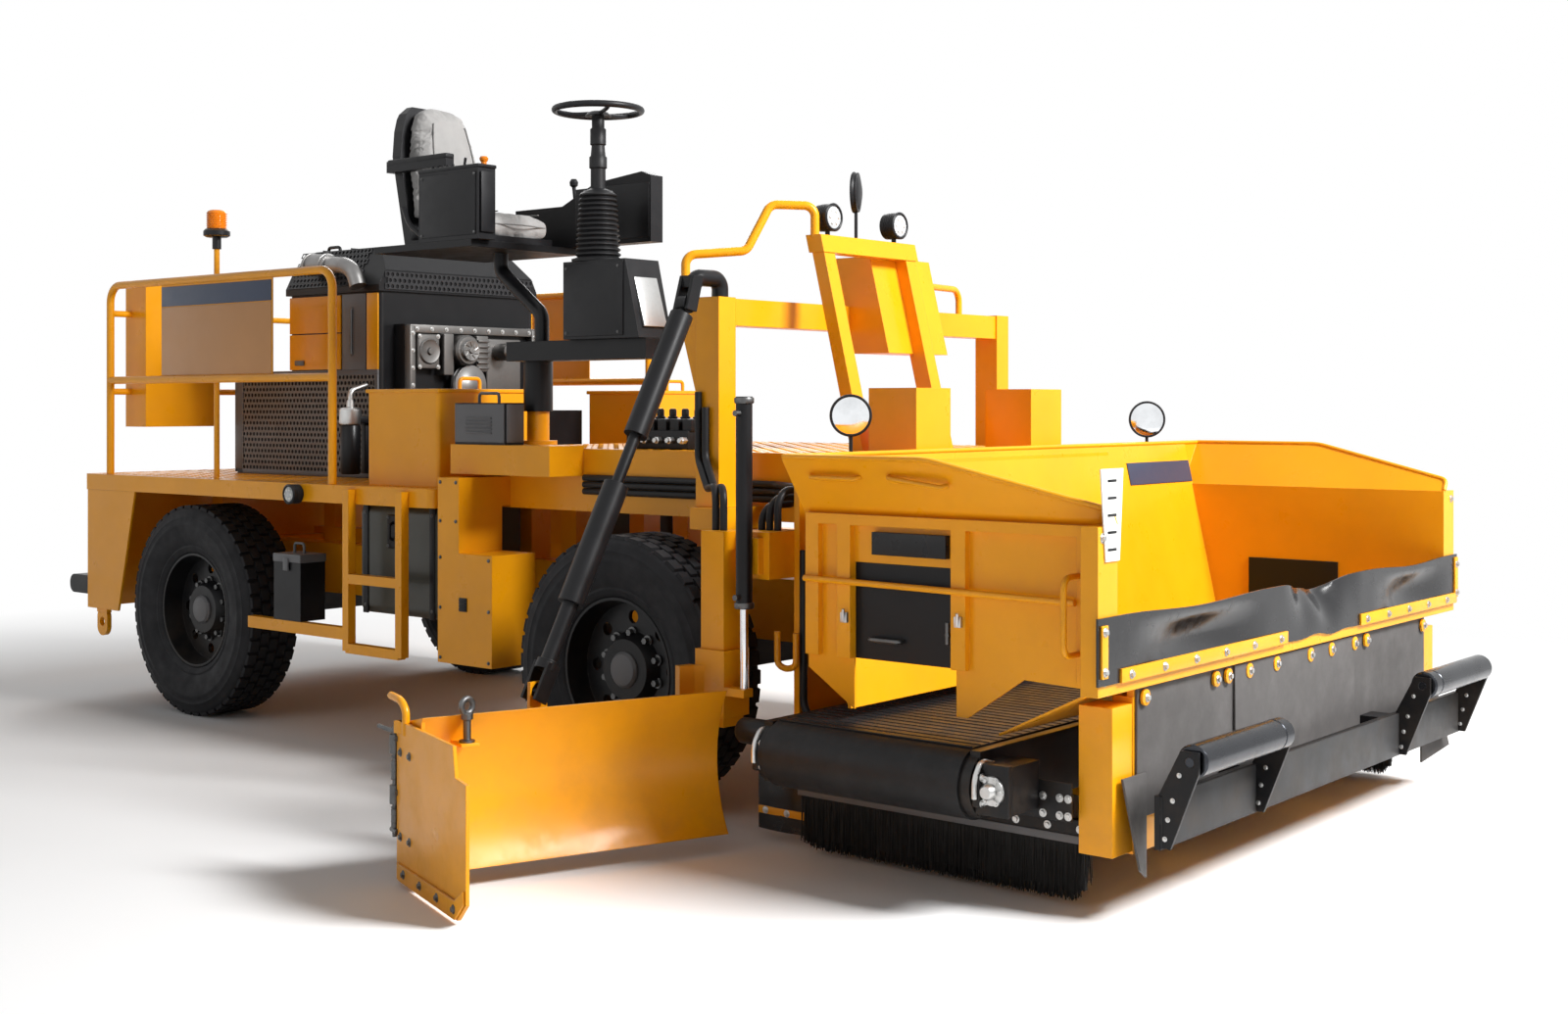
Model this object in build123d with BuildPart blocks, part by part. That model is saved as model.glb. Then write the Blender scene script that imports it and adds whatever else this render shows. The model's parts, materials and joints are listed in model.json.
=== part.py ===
"""Self-propelled road widener on four tyres, built in millimetres.

The row origin is on the ground under the middle of the whole footprint, +X is forward
to the push rollers, +Y is the machine's left and +Z is up. Places below are measured
from the point on the ground under the middle of the front axle.
"""
import os
from math import atan2, cos, degrees, hypot, radians, sin

from build123d import *

os.makedirs("parts", exist_ok=True)

# Fits
SEAT = 0.3            # between pieces that rest on each other
SLIDE = 0.5           # between a sliding piece and its guide
RUN = 6.0             # between pieces that pass each other

# Tyres and axles
TYRE_R = 538.0
TYRE_W = 312.0
RIM_R = 290.0
SPINDLE_R = 45.0
WHEELBASE = 3167.0
REAR_X = -WHEELBASE
REAR_TRACK_Y = 934.0
FRONT_TRACK_Y = 1066.0
KINGPIN_Y = 835.0
KINGPIN_R = 22.0
AXLE_H = 120.0

# Frame, deck and platform
RAIL_Y = (320.0, 440.0)
RAIL_Z = (600.0, 860.0)
DECK_X = (REAR_X - 991.0, -1228.0)
TAIL_WALL_X = REAR_X - 951.0
DECK_Z = (1130.0, 1215.0)
DECK_Y = 1100.0
PLATE_Z = (1385.0, 1400.0)
PLATE_X = (-1220.0, 1120.0)
BULKHEAD_X = (880.0, 905.0)
EYE_R = 24.0
EYE_T = 25.0

# Hopper, conveyor and front
HOPPER_TOP = 1415.0
WALL_Y = 1400.0
HOPPER_HALF = WALL_Y + 130.0
WALL_T = 8.0
REAR_WALL_TOP_X = 1142.0
REAR_WALL_LOW_X = 1330.0
FRONT_X = 2345.0
FRONT_BEAM_X = (2240.0, 2312.0)
LEG_REAR_X = 2192.0
FLARE_Z = 1225.0
FRONT_TOP = 1270.0
BELT_X = (1128.0, 1916.0)
BELT_Z = (290.0, 520.0)
BELT_T = 10.0
BELT_HALF = 1625.0
GATE_H = 326.0
GATES = (("right", -1, (1348.0, 1763.0), 734.0), ("left", 1, (1482.0, 1868.0), 574.0))  # hand, side, x, foot
ROLLER = dict(x=2534.0, z=513.0, r=42.0, inner=645.0, outer=1277.0)

# Strike-off blade, measured from its hinge along and across the mouldboard
HINGE = (700.0, -1440.0, 400.0)
SWEEP = 20.0
BLADE_L = (60.0, 1085.0)
BOARD_S = -40.0
BLADE_Z = (65.0, 573.0)
BRACE_TOP = (372.0, -1181.0, 1975.0)
BRACE_LOW = (372.0, -1948.0, 590.0)
COLUMN = dict(x=(612.0, 722.0), y=(-1360.0, -1250.0), z=(420.0, 1130.0))
LIFT = (812.0, -1350.0)
LIFT_R = 30.0

# Operator's station
SWING = (-930.0, -740.0)
SWING_R = 50.0
STATION_Y = -800.0
SEAT_Y = -850.0
SEAT_HALF = 195.0
STEER = dict(x=-490.0, z=2852.0, r=185.0)

# Place of the front axle's ground point, so that the origin is under the footprint's middle
TAIL_X = REAR_X - 1154.0
GATE_TIP = (553.0, BLADE_L[1] + 22.0)
gate_y = HINGE[1] - GATE_TIP[0] * sin(radians(SWEEP)) - GATE_TIP[1] * cos(radians(SWEEP))
AXLE_X = -(TAIL_X + ROLLER["x"] + ROLLER["r"]) / 2
AXLE_Y = -(BELT_HALF + gate_y) / 2

pieces = {}


def at(x, y, z):
    """Point given from the front axle's ground point."""
    return Vector(AXLE_X + x, AXLE_Y + y, z)


def block(x, y, z, mode=Mode.ADD):
    """Box between the ends of three spans."""
    middle = at(sum(x) / 2, sum(y) / 2, sum(z) / 2)
    with Locations(middle):
        Box(abs(x[1] - x[0]), abs(y[1] - y[0]), abs(z[1] - z[0]), mode=mode)


def pair(span, side):
    """Span across the machine on one side, in rising order."""
    return tuple(sorted((side * span[0], side * span[1])))


def side_plane(y):
    """Plane looking at the right-hand side: x forward, y up, pushed to the right."""
    return Plane(origin=at(0, y, 0), x_dir=(1, 0, 0), z_dir=(0, -1, 0))


def front_plane(x):
    """Plane looking from the front: x to the left, y up, pushed forward."""
    return Plane(origin=at(x, 0, 0), x_dir=(0, 1, 0), z_dir=(1, 0, 0))


def ground_plane(z):
    """Level plane, pushed upward."""
    return Plane(origin=at(0, 0, z), x_dir=(1, 0, 0), z_dir=(0, 0, 1))


def prism(plane, points, depth, mode=Mode.ADD):
    """Straight-sided outline pushed along the plane's normal."""
    with BuildSketch(plane) as outline:
        with BuildLine():
            Polyline(*points, close=True)
        make_face()
    extrude(outline.sketch, amount=depth, mode=mode)


def rod(start, end, radius, mode=Mode.ADD):
    """Round bar from one point to another."""
    along = at(*end) - at(*start)
    with BuildSketch(Plane(origin=at(*start), z_dir=along)) as section:
        Circle(radius)
    extrude(section.sketch, amount=along.length, mode=mode)


def pipe(points, radius, bend):
    """Round tube bent through a list of points."""
    with BuildLine() as path:
        FilletPolyline(*[at(*point) for point in points], radius=bend)
    with BuildSketch(Plane(origin=path.line @ 0, z_dir=path.line % 0)) as section:
        Circle(radius)
    sweep(section.sketch, path=path.line)


def turned(plane, points, mode=Mode.ADD):
    """Outline of radius and height turned round the plane's upright axis."""
    with BuildSketch(plane) as outline:
        with BuildLine():
            Polyline(*points, close=True)
        make_face()
    axis = Axis(plane.origin, plane.y_dir)
    revolve(outline.sketch, axis=axis, mode=mode)


def tie_eye(x, z, y, length, turn):
    """Slotted lug with a round eye, pushed outward from y."""
    with BuildSketch(side_plane(y + EYE_T if y > 0 else y)) as lug:
        with Locations((x, z)):
            SlotOverall(length, 100, rotation=turn)
            Circle(EYE_R, mode=Mode.SUBTRACT)
    extrude(lug.sketch, amount=EYE_T)


# Frame rails: two deep ones from the tail to the bulkhead and two low ones under the hopper
with BuildPart() as frame_rails:
    for side in (-1, 1):
        block((REAR_X - 883, BULKHEAD_X[0] - SEAT), pair(RAIL_Y, side), RAIL_Z)
        block((BULKHEAD_X[1] + SEAT, FRONT_BEAM_X[0] - SEAT), pair((500, 600), side), (190, 280))
pieces["frame_rails"] = frame_rails

# Cross members between the rails and uprights that carry the deck and the platform
with BuildPart() as frame_members:
    for low, high in ((REAR_X - 883, REAR_X - 783), (-2500, -2400), (-800, -700), (700, 800)):
        block((low, high), (-RAIL_Y[0] + SEAT, RAIL_Y[0] - SEAT), (640, 820))
    for low, high, top in ((REAR_X - 783, REAR_X - 683, DECK_Z[0]), (-2000, -1900, DECK_Z[0]),
                           (-1400, -1300, DECK_Z[0]), (-1100, -1000, PLATE_Z[0]),
                           (-100, 0, PLATE_Z[0]), (790, 870, PLATE_Z[0])):
        for side in (-1, 1):
            block((low, high), pair(RAIL_Y, side), (RAIL_Z[1] + SEAT, top - SEAT))
pieces["frame_members"] = frame_members

# Bulkhead behind the hopper with its tie-down eyes
with BuildPart() as bulkhead:
    block(BULKHEAD_X, (-1150, 1150), (190, PLATE_Z[0] - SEAT))
    for side in (-1, 1):
        tie_eye(960, 690, side * 1100, 130, 0)
        block((BULKHEAD_X[1] - 5, 925), pair((1100, 1125), side), (640, 740))
pieces["bulkhead"] = bulkhead

# Front frame: cross beam under the hopper's mouth and its legs
with BuildPart() as front_frame:
    block(FRONT_BEAM_X, (-1235, 1235), (190, 680))
    block((2288, FRONT_BEAM_X[1]), (-1230, 1230), (675, 713 - SEAT))
    for side in (-1, 1):
        block((LEG_REAR_X, FRONT_BEAM_X[1] - 3), pair((1230, 1360), side), (200, 660))
pieces["front_frame"] = front_frame

# Rear deck slab
with BuildPart() as rear_deck:
    block(DECK_X, (-DECK_Y, DECK_Y), DECK_Z)
    fillet(rear_deck.edges().filter_by(Axis.Z), radius=40)
pieces["rear_deck"] = rear_deck

# Tail: slanted side plates and the rear wall under the deck, with tie-down eyes
TAIL_T = 12.0
with BuildPart() as tail:
    top = DECK_Z[0] - SEAT
    for side in (-1, 1):
        face = DECK_Y if side > 0 else -DECK_Y + TAIL_T
        prism(side_plane(face), ((TAIL_WALL_X, 490), (REAR_X - 644, 490), (REAR_X - 481, top),
                                 (TAIL_WALL_X, top)), TAIL_T)
        inner = DECK_Y - TAIL_T - EYE_T
        tie_eye(REAR_X - 823, 420, side * inner, 150, 90)
        block((REAR_X - 873, REAR_X - 773), pair((inner, DECK_Y - TAIL_T + 2), side), (470, 540))
    block((TAIL_WALL_X, TAIL_WALL_X + TAIL_T), (-DECK_Y, DECK_Y), (490, top))
pieces["tail"] = tail

# Rear bumper: a round-nosed bar across the tail
with BuildPart() as rear_bumper:
    block((TAIL_X, TAIL_WALL_X - SEAT), (-DECK_Y + 10, DECK_Y - 10), (560, 660))
    fillet(rear_bumper.edges().filter_by(Axis.Y).group_by(Axis.X)[0], radius=45)
pieces["rear_bumper"] = rear_bumper

# Axle beams: plain spindles at the rear, forked ends with kingpins at the front
with BuildPart() as axles:
    x = REAR_X
    block((x - 60, x + 60), (-700, 700), (TYRE_R - AXLE_H / 2, RAIL_Z[0] - SEAT))
    rod((x, -REAR_TRACK_Y - 40, TYRE_R), (x, REAR_TRACK_Y + 40, TYRE_R), SPINDLE_R)
    block((-60, 60), (-720, 720), (TYRE_R - AXLE_H / 2, RAIL_Z[0] - SEAT))
    for side in (-1, 1):
        for low in (TYRE_R - 90, TYRE_R + 60):
            block((-50, 50), pair((700, KINGPIN_Y + 45), side), (low, low + 30))
        block((-50, 50), pair((700, 730), side), (TYRE_R - 90, TYRE_R + 90))
        rod((0, side * KINGPIN_Y, TYRE_R - 90), (0, side * KINGPIN_Y, TYRE_R + 90), KINGPIN_R)
pieces["axles"] = axles

# Steering knuckles: an upright boss on the kingpin with the wheel spindle
for side, hand in ((-1, "right"), (1, "left")):
    with BuildPart() as knuckle:
        y = side * KINGPIN_Y
        block((-45, 45), (y - 45, y + 45), (TYRE_R - 60 + RUN, TYRE_R + 60 - RUN))
        rod((0, y, TYRE_R), (0, side * (FRONT_TRACK_Y + 40), TYRE_R), SPINDLE_R)
        rod((0, y, TYRE_R - 100), (0, y, TYRE_R + 100), KINGPIN_R + SEAT, mode=Mode.SUBTRACT)
    pieces[f"knuckle_{hand}"] = knuckle

# Wheels: dished rim with a hub and hand holes, and the tyre round it
HAND_HOLES = 8
HAND_HOLE_R = 26.0
DISC_R = 150.0
BARREL_R = RIM_R - 28
HAND_HOLE_RING = (DISC_R + BARREL_R) / 2
WHEELS = (("rear_right", REAR_X, -REAR_TRACK_Y), ("rear_left", REAR_X, REAR_TRACK_Y),
          ("front_right", 0.0, -FRONT_TRACK_Y), ("front_left", 0.0, FRONT_TRACK_Y))
for name, x, y in WHEELS:
    out = -1 if y < 0 else 1
    wheel = Plane(origin=at(x, y, TYRE_R), x_dir=(1, 0, 0), z_dir=(0, 0, -out))
    bore = SPINDLE_R + SEAT
    with BuildPart() as rim:
        turned(wheel, ((bore, -70), (120, -70), (DISC_R, -20), (BARREL_R, -20), (RIM_R - 12, -118),
                       (RIM_R, -118), (RIM_R, 118), (RIM_R - 12, 118), (BARREL_R, 0), (DISC_R, 0),
                       (120, 70), (bore, 70)))
        with BuildSketch(Plane(origin=at(x, y, TYRE_R), x_dir=(1, 0, 0), z_dir=(0, 1, 0))) as holes:
            with PolarLocations(HAND_HOLE_RING, HAND_HOLES):
                Circle(HAND_HOLE_R)
        extrude(holes.sketch, amount=60, both=True, mode=Mode.SUBTRACT)
    pieces[f"rim_{name}"] = rim
    with BuildPart() as tyre:
        with BuildSketch(wheel) as section:
            with BuildLine():
                half = TYRE_W / 2
                bead = RIM_R + SEAT
                Line((bead, -115), (bead, 115))
                ThreePointArc((bead, 115), (420, half), (505, 146))
                ThreePointArc((505, 146), (527, 136), (532, 118))
                ThreePointArc((532, 118), (TYRE_R, 0), (532, -118))
                ThreePointArc((532, -118), (527, -136), (505, -146))
                ThreePointArc((505, -146), (420, -half), (bead, -115))
            make_face()
        revolve(section.sketch, axis=Axis(wheel.origin, wheel.y_dir))
    pieces[f"tyre_{name}"] = tyre

# Engine block standing for the closed inside of the engine bay
BAY_FRONT_X = -2340.0
BAY_HALF = 520.0
BAY_TOP = 2165.0
with BuildPart() as engine:
    foot = DECK_Z[1] + SEAT
    prism(side_plane(430), ((BAY_FRONT_X + SEAT, foot), (-1860, foot), (-1860, 1560), (-2255, 1560),
                            (-2255, 2000), (BAY_FRONT_X + SEAT, 2000)), 860)
pieces["engine"] = engine

# Enclosure round the engine bay, lower behind where the cooler stands
with BuildPart() as enclosure:
    prism(side_plane(BAY_HALF), ((-3600, foot), (BAY_FRONT_X, foot), (BAY_FRONT_X, BAY_TOP),
                                 (-3100, BAY_TOP), (-3100, 1760), (-3600, 1760)), 2 * BAY_HALF)
    fillet(enclosure.edges().filter_by(Axis.Z), radius=25)
pieces["enclosure"] = enclosure

# Black hood over the engine bay, its corners and both ends sloped
with BuildPart() as hood:
    sill = BAY_TOP + SEAT
    half = BAY_HALF + 15
    prism(side_plane(half), ((-3115, sill), (-3115, 2310), (-2990, 2400), (-2440, 2400), (-2325, 2275),
                             (-2325, sill)), 2 * half)
    prism(front_plane(-3200), ((-half, sill), (-half, 2200), (-430, 2405), (430, 2405), (half, 2200),
                               (half, sill)), 1000, mode=Mode.INTERSECT)
pieces["hood"] = hood

# Tanks and lockers standing on the deck beside the engine
with BuildPart() as deck_boxes:
    for side in (-1, 1):
        block((-1815, -1305), pair((430, DECK_Y - 100), side), (DECK_Z[1] + SEAT, 1650))
    fillet(deck_boxes.edges().filter_by(Axis.Z), radius=20)
pieces["deck_boxes"] = deck_boxes

# Tanks hung under the deck between the axles
with BuildPart() as side_tanks:
    for side in (-1, 1):
        block((-1840, -1290), pair((520, DECK_Y - 90), side), (620, DECK_Z[0] - SEAT))
    fillet(side_tanks.edges().filter_by(Axis.X), radius=45)
pieces["side_tanks"] = side_tanks

# Ladders with a step tube running back to the rear tyre
STEP_TOP = 563.0
with BuildPart() as ladders:
    for side in (-1, 1):
        face = pair((DECK_Y + SEAT, DECK_Y + 42), side)
        for x in (-1791, -1408):
            block((x - 22, x + 22), face, (457, 1200))
        for z in (470, 790):
            block((-1791, -1408), face, (z - 22, z + 22))
        block((-2560, -1791), face, (STEP_TOP - 56, STEP_TOP))
pieces["ladders"] = ladders

# Guard rails on both sides of the deck and across its tail, with their blank panels and the beacon's pole
RAIL_R = 20.0
BEACON = (-3013.0, -DECK_Y + 80)
BEACON_Z = 2475.0
RAIL_SIDE_Y = DECK_Y - 30
RAIL_TAIL_X = REAR_X - 771.0
with BuildPart() as guard_rails:
    foot = DECK_Z[1] + SEAT
    for side in (-1, 1):
        y = side * RAIL_SIDE_Y
        pipe(((RAIL_TAIL_X, y, foot), (RAIL_TAIL_X, y, 2228), (-1985, y, 2228), (-1985, y, foot)),
             RAIL_R, 90)
        rod((RAIL_TAIL_X, y, 1720), (-1985, y, 1720), RAIL_R)
        block((-3436, -2459), (y - 3, y + 3), (1720, 2228))
    for z in (1660, 2080):
        rod((RAIL_TAIL_X, -RAIL_SIDE_Y, z), (RAIL_TAIL_X, RAIL_SIDE_Y, z), RAIL_R - 3)
    block((RAIL_TAIL_X - 52, RAIL_TAIL_X + 148), (-950, -530), (1470, 2250))
    rod((*BEACON, foot), (*BEACON, BEACON_Z), 14)
    rod((*BEACON, BEACON_Z - 30), (*BEACON, BEACON_Z), 62)
pieces["guard_rails"] = guard_rails

# Lens of the beacon on its pole
with BuildPart() as beacon_lens:
    rod((*BEACON, BEACON_Z + SEAT), (*BEACON, BEACON_Z + 103), 52)
    fillet(beacon_lens.edges().group_by(Axis.Z)[-1], radius=12)
pieces["beacon_lens"] = beacon_lens

# Boxes: the controller on the platform's side box and the tool box on the step tube
with BuildPart() as tool_boxes:
    block((-1200, -870), (-990, -880), (1414 + SEAT, 1598))
    block((-2348, -2137), (-DECK_Y - 40, -DECK_Y + 100), (STEP_TOP + SEAT, 875))
pieces["tool_boxes"] = tool_boxes

# Stepped lockers between the deck and the front tyres
with BuildPart() as step_lockers:
    for side in (-1, 1):
        face = DECK_Y if side > 0 else -850
        prism(side_plane(face), ((-1186, 458), (-830, 458), (-830, 941), (-1046, 941),
                                 (-1046, 1270), (-1186, 1270)), DECK_Y - 850)
        block((-1186, -1046), pair((800 + SEAT, 850), side), (1140, 1270))
pieces["step_lockers"] = step_lockers

# Platform over the front axle: side beams, outriggers, side box and the swing post
with BuildPart() as platform:
    block(PLATE_X, (-800, 800), PLATE_Z)
    for side in (-1, 1):
        block((PLATE_X[0], BULKHEAD_X[0] - SEAT), pair((680, 800), side), (DECK_Z[0], PLATE_Z[0]))
        block((290, 450), pair((800, 1070), side), (1105, DECK_Z[0] + 60))
    block((-1220, -580), (-1000, -795), (1283, 1414))
    for low, high in ((-637, -406), (185, 428)):
        block((836, 1062), (low, high), (PLATE_Z[0] + 2, 1655))
    rod((*SWING, PLATE_Z[0]), (*SWING, 1775), SWING_R)
    rod((*SWING, PLATE_Z[0]), (*SWING, 1430), 85)
pieces["platform"] = platform

# Gantry: upright legs, cross beam, leaning inner frame with its box, and the rail over it
LEG_X = (290.0, 410.0)
LEG_Y = (935.0, 1035.0)
LEG_TOP = 2010.0
CAP_Z = (2203.0, 2275.0)


def lean(z):
    """Front face of the leaning frame at a height."""
    return 555 + (2263 - z) * 0.245


def slab(y, z, front, rear):
    """Leaning slab between two spans, given how far its faces stand from the leaning frame's front."""
    prism(side_plane(y[1]), ((lean(z[1]) + rear, z[1]), (lean(z[1]) + front, z[1]),
                             (lean(z[0]) + front, z[0]), (lean(z[0]) + rear, z[0])), y[1] - y[0])


with BuildPart() as gantry:
    for side in (-1, 1):
        block(LEG_X, pair(LEG_Y, side), (DECK_Z[0] + 60 + SEAT, LEG_TOP))
    block((305, 402), (-LEG_Y[1] + 5, LEG_Y[1] - 5), (1900, LEG_TOP - 4))
    slab((-580, -510), (PLATE_Z[1] + SEAT, CAP_Z[1] - 12), 0, -60)
    slab((-20, 50), (PLATE_Z[1] + SEAT, CAP_Z[1] - 12), 0, -78)
    slab((-586, 64), CAP_Z, 5, -72)
    slab((-195, 235), (1805, CAP_Z[0] + 9), -58, -245)
    prism(side_plane(-975), ((LEG_X[0] + 5, 1995), (165, 1995), (165, 1930), (LEG_X[0] + 5, 1500)), 20)
    pipe(((190, -985, 1945), (190, -985, 2185), (345, -795, 2205), (390, -700, 2395), (515, -570, 2392),
          (515, -570, CAP_Z[1] - 10)), 18, 45)
    pipe(((420, 225, 2120), (360, 690, 2120), (360, 690, LEG_TOP - 20)), 15, 60)
pieces["gantry"] = gantry

# Work lamps: two on the gantry's cap and one on the deck's edge
with BuildPart() as work_lamps:
    for y in (-488, -32):
        rod((515, y, CAP_Z[1] + SEAT), (515, y, 2305), 10)
        rod((480, y, 2350), (545, y, 2350), 55)
    rod((-2212, -DECK_Y - SEAT, 1165), (-2212, -DECK_Y - 50, 1165), 45)
pieces["work_lamps"] = work_lamps

# Mirrors on stalks: one on the gantry's cap and two on the hopper's rear wall
MIRROR_T = 22.0
with BuildPart() as mirrors:
    for x, y, z, facing, foot, radius in ((525, -310, 2468, 208, CAP_Z[1], 82),
                                          (REAR_WALL_TOP_X - 4, -1146, HOPPER_TOP + 137, -53, HOPPER_TOP, 72),
                                          (REAR_WALL_TOP_X - 4, 1042, HOPPER_TOP + 109, -53, HOPPER_TOP, 78)):
        dx, dy = cos(radians(facing)) * MIRROR_T / 2, sin(radians(facing)) * MIRROR_T / 2
        rod((x, y, foot + SEAT), (x, y, z - radius / 2), 7)
        rod((x - dx, y - dy, z), (x + dx, y + dy, z), radius)
pieces["mirrors"] = mirrors

# Hopper: rear wall, flared side walls, lower side panels, floor slope and front posts
with BuildPart() as hopper:
    prism(side_plane(WALL_Y), ((REAR_WALL_TOP_X - WALL_T, HOPPER_TOP), (REAR_WALL_TOP_X, HOPPER_TOP),
                               (REAR_WALL_LOW_X, 560), (REAR_WALL_LOW_X - WALL_T, 560)), 2 * WALL_Y)
    for hand, side, gate_x, gate_foot in GATES:
        head = gate_foot + GATE_H
        lip = max(1808, gate_x[1] + 45)
        outline = ((1150, 687), (gate_x[0], 561), (gate_x[0], head), (gate_x[1], head), (gate_x[1], 581),
                   (lip, 581), (2018, 724), (FRONT_X, 713), (FRONT_X, FLARE_Z), (1150, FLARE_Z))
        face = WALL_Y if side > 0 else -WALL_Y + WALL_T
        prism(side_plane(face), outline, WALL_T)
        rise = HOPPER_TOP - FLARE_Z
        slope = degrees(atan2(HOPPER_HALF - WALL_Y, rise))
        reach = hypot(HOPPER_HALF - WALL_Y, rise)
        short = reach * (FRONT_TOP - FLARE_Z) / rise
        foot = at(0, side * (WALL_Y - WALL_T), FLARE_Z - 4)
        up = Vector(0, side * sin(radians(slope)), cos(radians(slope)))
        flare = Plane(origin=foot, x_dir=(1, 0, 0), z_dir=Vector(1, 0, 0).cross(up))
        prism(flare, ((1134, 0), (FRONT_X, 0), (FRONT_X, short), (1734, reach), (1134, reach)),
              -side * WALL_T)
        prism(front_plane(1134), ((side * (WALL_Y - WALL_T), 1130), (side * WALL_Y, FLARE_Z - 2),
                                  (side * HOPPER_HALF, HOPPER_TOP), (side * (WALL_Y - WALL_T),
                                                                     HOPPER_TOP)), WALL_T)
        block((FRONT_X - 60, FRONT_X), pair((WALL_Y, WALL_Y + 110), side), (713, FLARE_Z))
        for x in (1183, 1320, 1785, 2250):
            block((x - 28, x + 28), pair((WALL_Y, WALL_Y + 25), side), (735, FLARE_Z - 4))
        block((1155, FRONT_X), pair((WALL_Y, WALL_Y + 25), side), (1185, FLARE_Z - 4))
    prism(side_plane(WALL_Y), ((1925, 545), (1925, 537), (FRONT_X, 745), (FRONT_X, 753)), 2 * WALL_Y)
    block((FRONT_X - 60, FRONT_X), (-WALL_Y, WALL_Y), (713, 760))
    block((BULKHEAD_X[1] + SEAT, REAR_WALL_TOP_X + 10), (-670, 670), (1330, PLATE_Z[0] - SEAT))
pieces["hopper"] = hopper

# Discharge gates sliding inside the side panels
for hand, side, gate_x, gate_foot in GATES:
    with BuildPart() as gate:
        skin = pair((WALL_Y - WALL_T - SLIDE - 6, WALL_Y - WALL_T - SLIDE), side)
        block((gate_x[0] - 15, gate_x[1] + 15), skin, (gate_foot, gate_foot + GATE_H))
    pieces[f"gate_{hand}"] = gate

# Cross conveyor: endless belt, drums at its ends, side channels and drive blocks
belt_mid = sum(BELT_Z) / 2
belt_r = (BELT_Z[1] - BELT_Z[0]) / 2
with BuildPart() as belt:
    with BuildSketch(front_plane(BELT_X[0])) as loop:
        with Locations((0, belt_mid)):
            SlotOverall(2 * BELT_HALF, 2 * belt_r)
            SlotOverall(2 * (BELT_HALF - BELT_T), 2 * (belt_r - BELT_T), mode=Mode.SUBTRACT)
    extrude(loop.sketch, amount=BELT_X[1] - BELT_X[0])
pieces["belt"] = belt
with BuildPart() as conveyor_frame:
    for side in (-1, 1):
        y = side * (BELT_HALF - belt_r)
        rod((1090, y, belt_mid), (1955, y, belt_mid), belt_r - BELT_T - SEAT)
        rod((1075, y, belt_mid), (2060, y, belt_mid), 30)
        block((1960 + SEAT, 2075), pair((BELT_HALF - 225, BELT_HALF - 45), side), (330, 480))
    for low, high in ((1085, 1122), (1922, 1960)):
        block((low, high), (-BELT_HALF + 65, BELT_HALF - 65), (310, 515))
        for side in (-1, 1):
            block((low, high), pair((505, 595), side), (280 + SEAT, 315))
pieces["conveyor_frame"] = conveyor_frame

# Side brushes: steel bar bolted to the front leg, bristles below
BRUSH_Z = (215.0, 280.0)
with BuildPart() as brush_bars:
    for side in (-1, 1):
        block((1012, LEG_REAR_X - SEAT), pair((1255, 1285), side), BRUSH_Z)
pieces["brush_bars"] = brush_bars
with BuildPart() as bristles:
    for side in (-1, 1):
        block((1018, LEG_REAR_X - 12), pair((1252, 1288), side), (20, BRUSH_Z[0] - SEAT))
pieces["bristles"] = bristles

# Rubber flaps: one across the hopper's mouth, one hanging under its front edge
with BuildPart() as rubber_flaps:
    block((FRONT_X + SEAT, FRONT_X + 8), (-1525, 1525), (745, 954))
    block((FRONT_BEAM_X[1] + SEAT, FRONT_BEAM_X[1] + 10), (-1225, 1225), (405, 705))
pieces["rubber_flaps"] = rubber_flaps

# Push beam with its stand-offs and roller brackets
with BuildPart() as push_beam:
    block((2420, 2440), (-1300, 1300), (235, 400))
    for y in (-600, 600):
        block((FRONT_BEAM_X[1] + SEAT, 2425), (y - 60, y + 60), (245, 390))
    for side in (-1, 1):
        for low, high in ((ROLLER["inner"] - 17, ROLLER["inner"] - 5),
                          (ROLLER["outer"] + 5, ROLLER["outer"] + 17)):
            outer = max(pair((low, high), side))
            prism(side_plane(outer), ((2430, 240), (2470, 240), (ROLLER["x"] + 30, 480),
                                      (ROLLER["x"] + 30, 545), (ROLLER["x"] - 30, 545),
                                      (2430, 400)), high - low)
    rod((ROLLER["x"], -1400, ROLLER["z"]), (ROLLER["x"], 1400, ROLLER["z"]), 15 + SEAT,
        mode=Mode.SUBTRACT)
pieces["push_beam"] = push_beam

# Push rollers on stub shafts
for side, hand in ((-1, "right"), (1, "left")):
    with BuildPart() as roller:
        ends = pair((ROLLER["inner"], ROLLER["outer"]), side)
        rod((ROLLER["x"], ends[0], ROLLER["z"]), (ROLLER["x"], ends[1], ROLLER["z"]), ROLLER["r"])
        rod((ROLLER["x"], ends[0] - 17, ROLLER["z"]), (ROLLER["x"], ends[1] + 17, ROLLER["z"]), 15)
    pieces[f"roller_{hand}"] = roller

# Fixed column of the strike-off with its bracket to the bulkhead
with BuildPart() as column:
    block(COLUMN["x"], COLUMN["y"], COLUMN["z"])
    block((COLUMN["x"][1], BULKHEAD_X[0] - SEAT), (-1290, -1100), (960, 1130))
    block((LIFT[0] - 40, LIFT[0] + 40), (LIFT[1] + LIFT_R + SEAT, -1290), (980, 1110))
pieces["column"] = column

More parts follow.
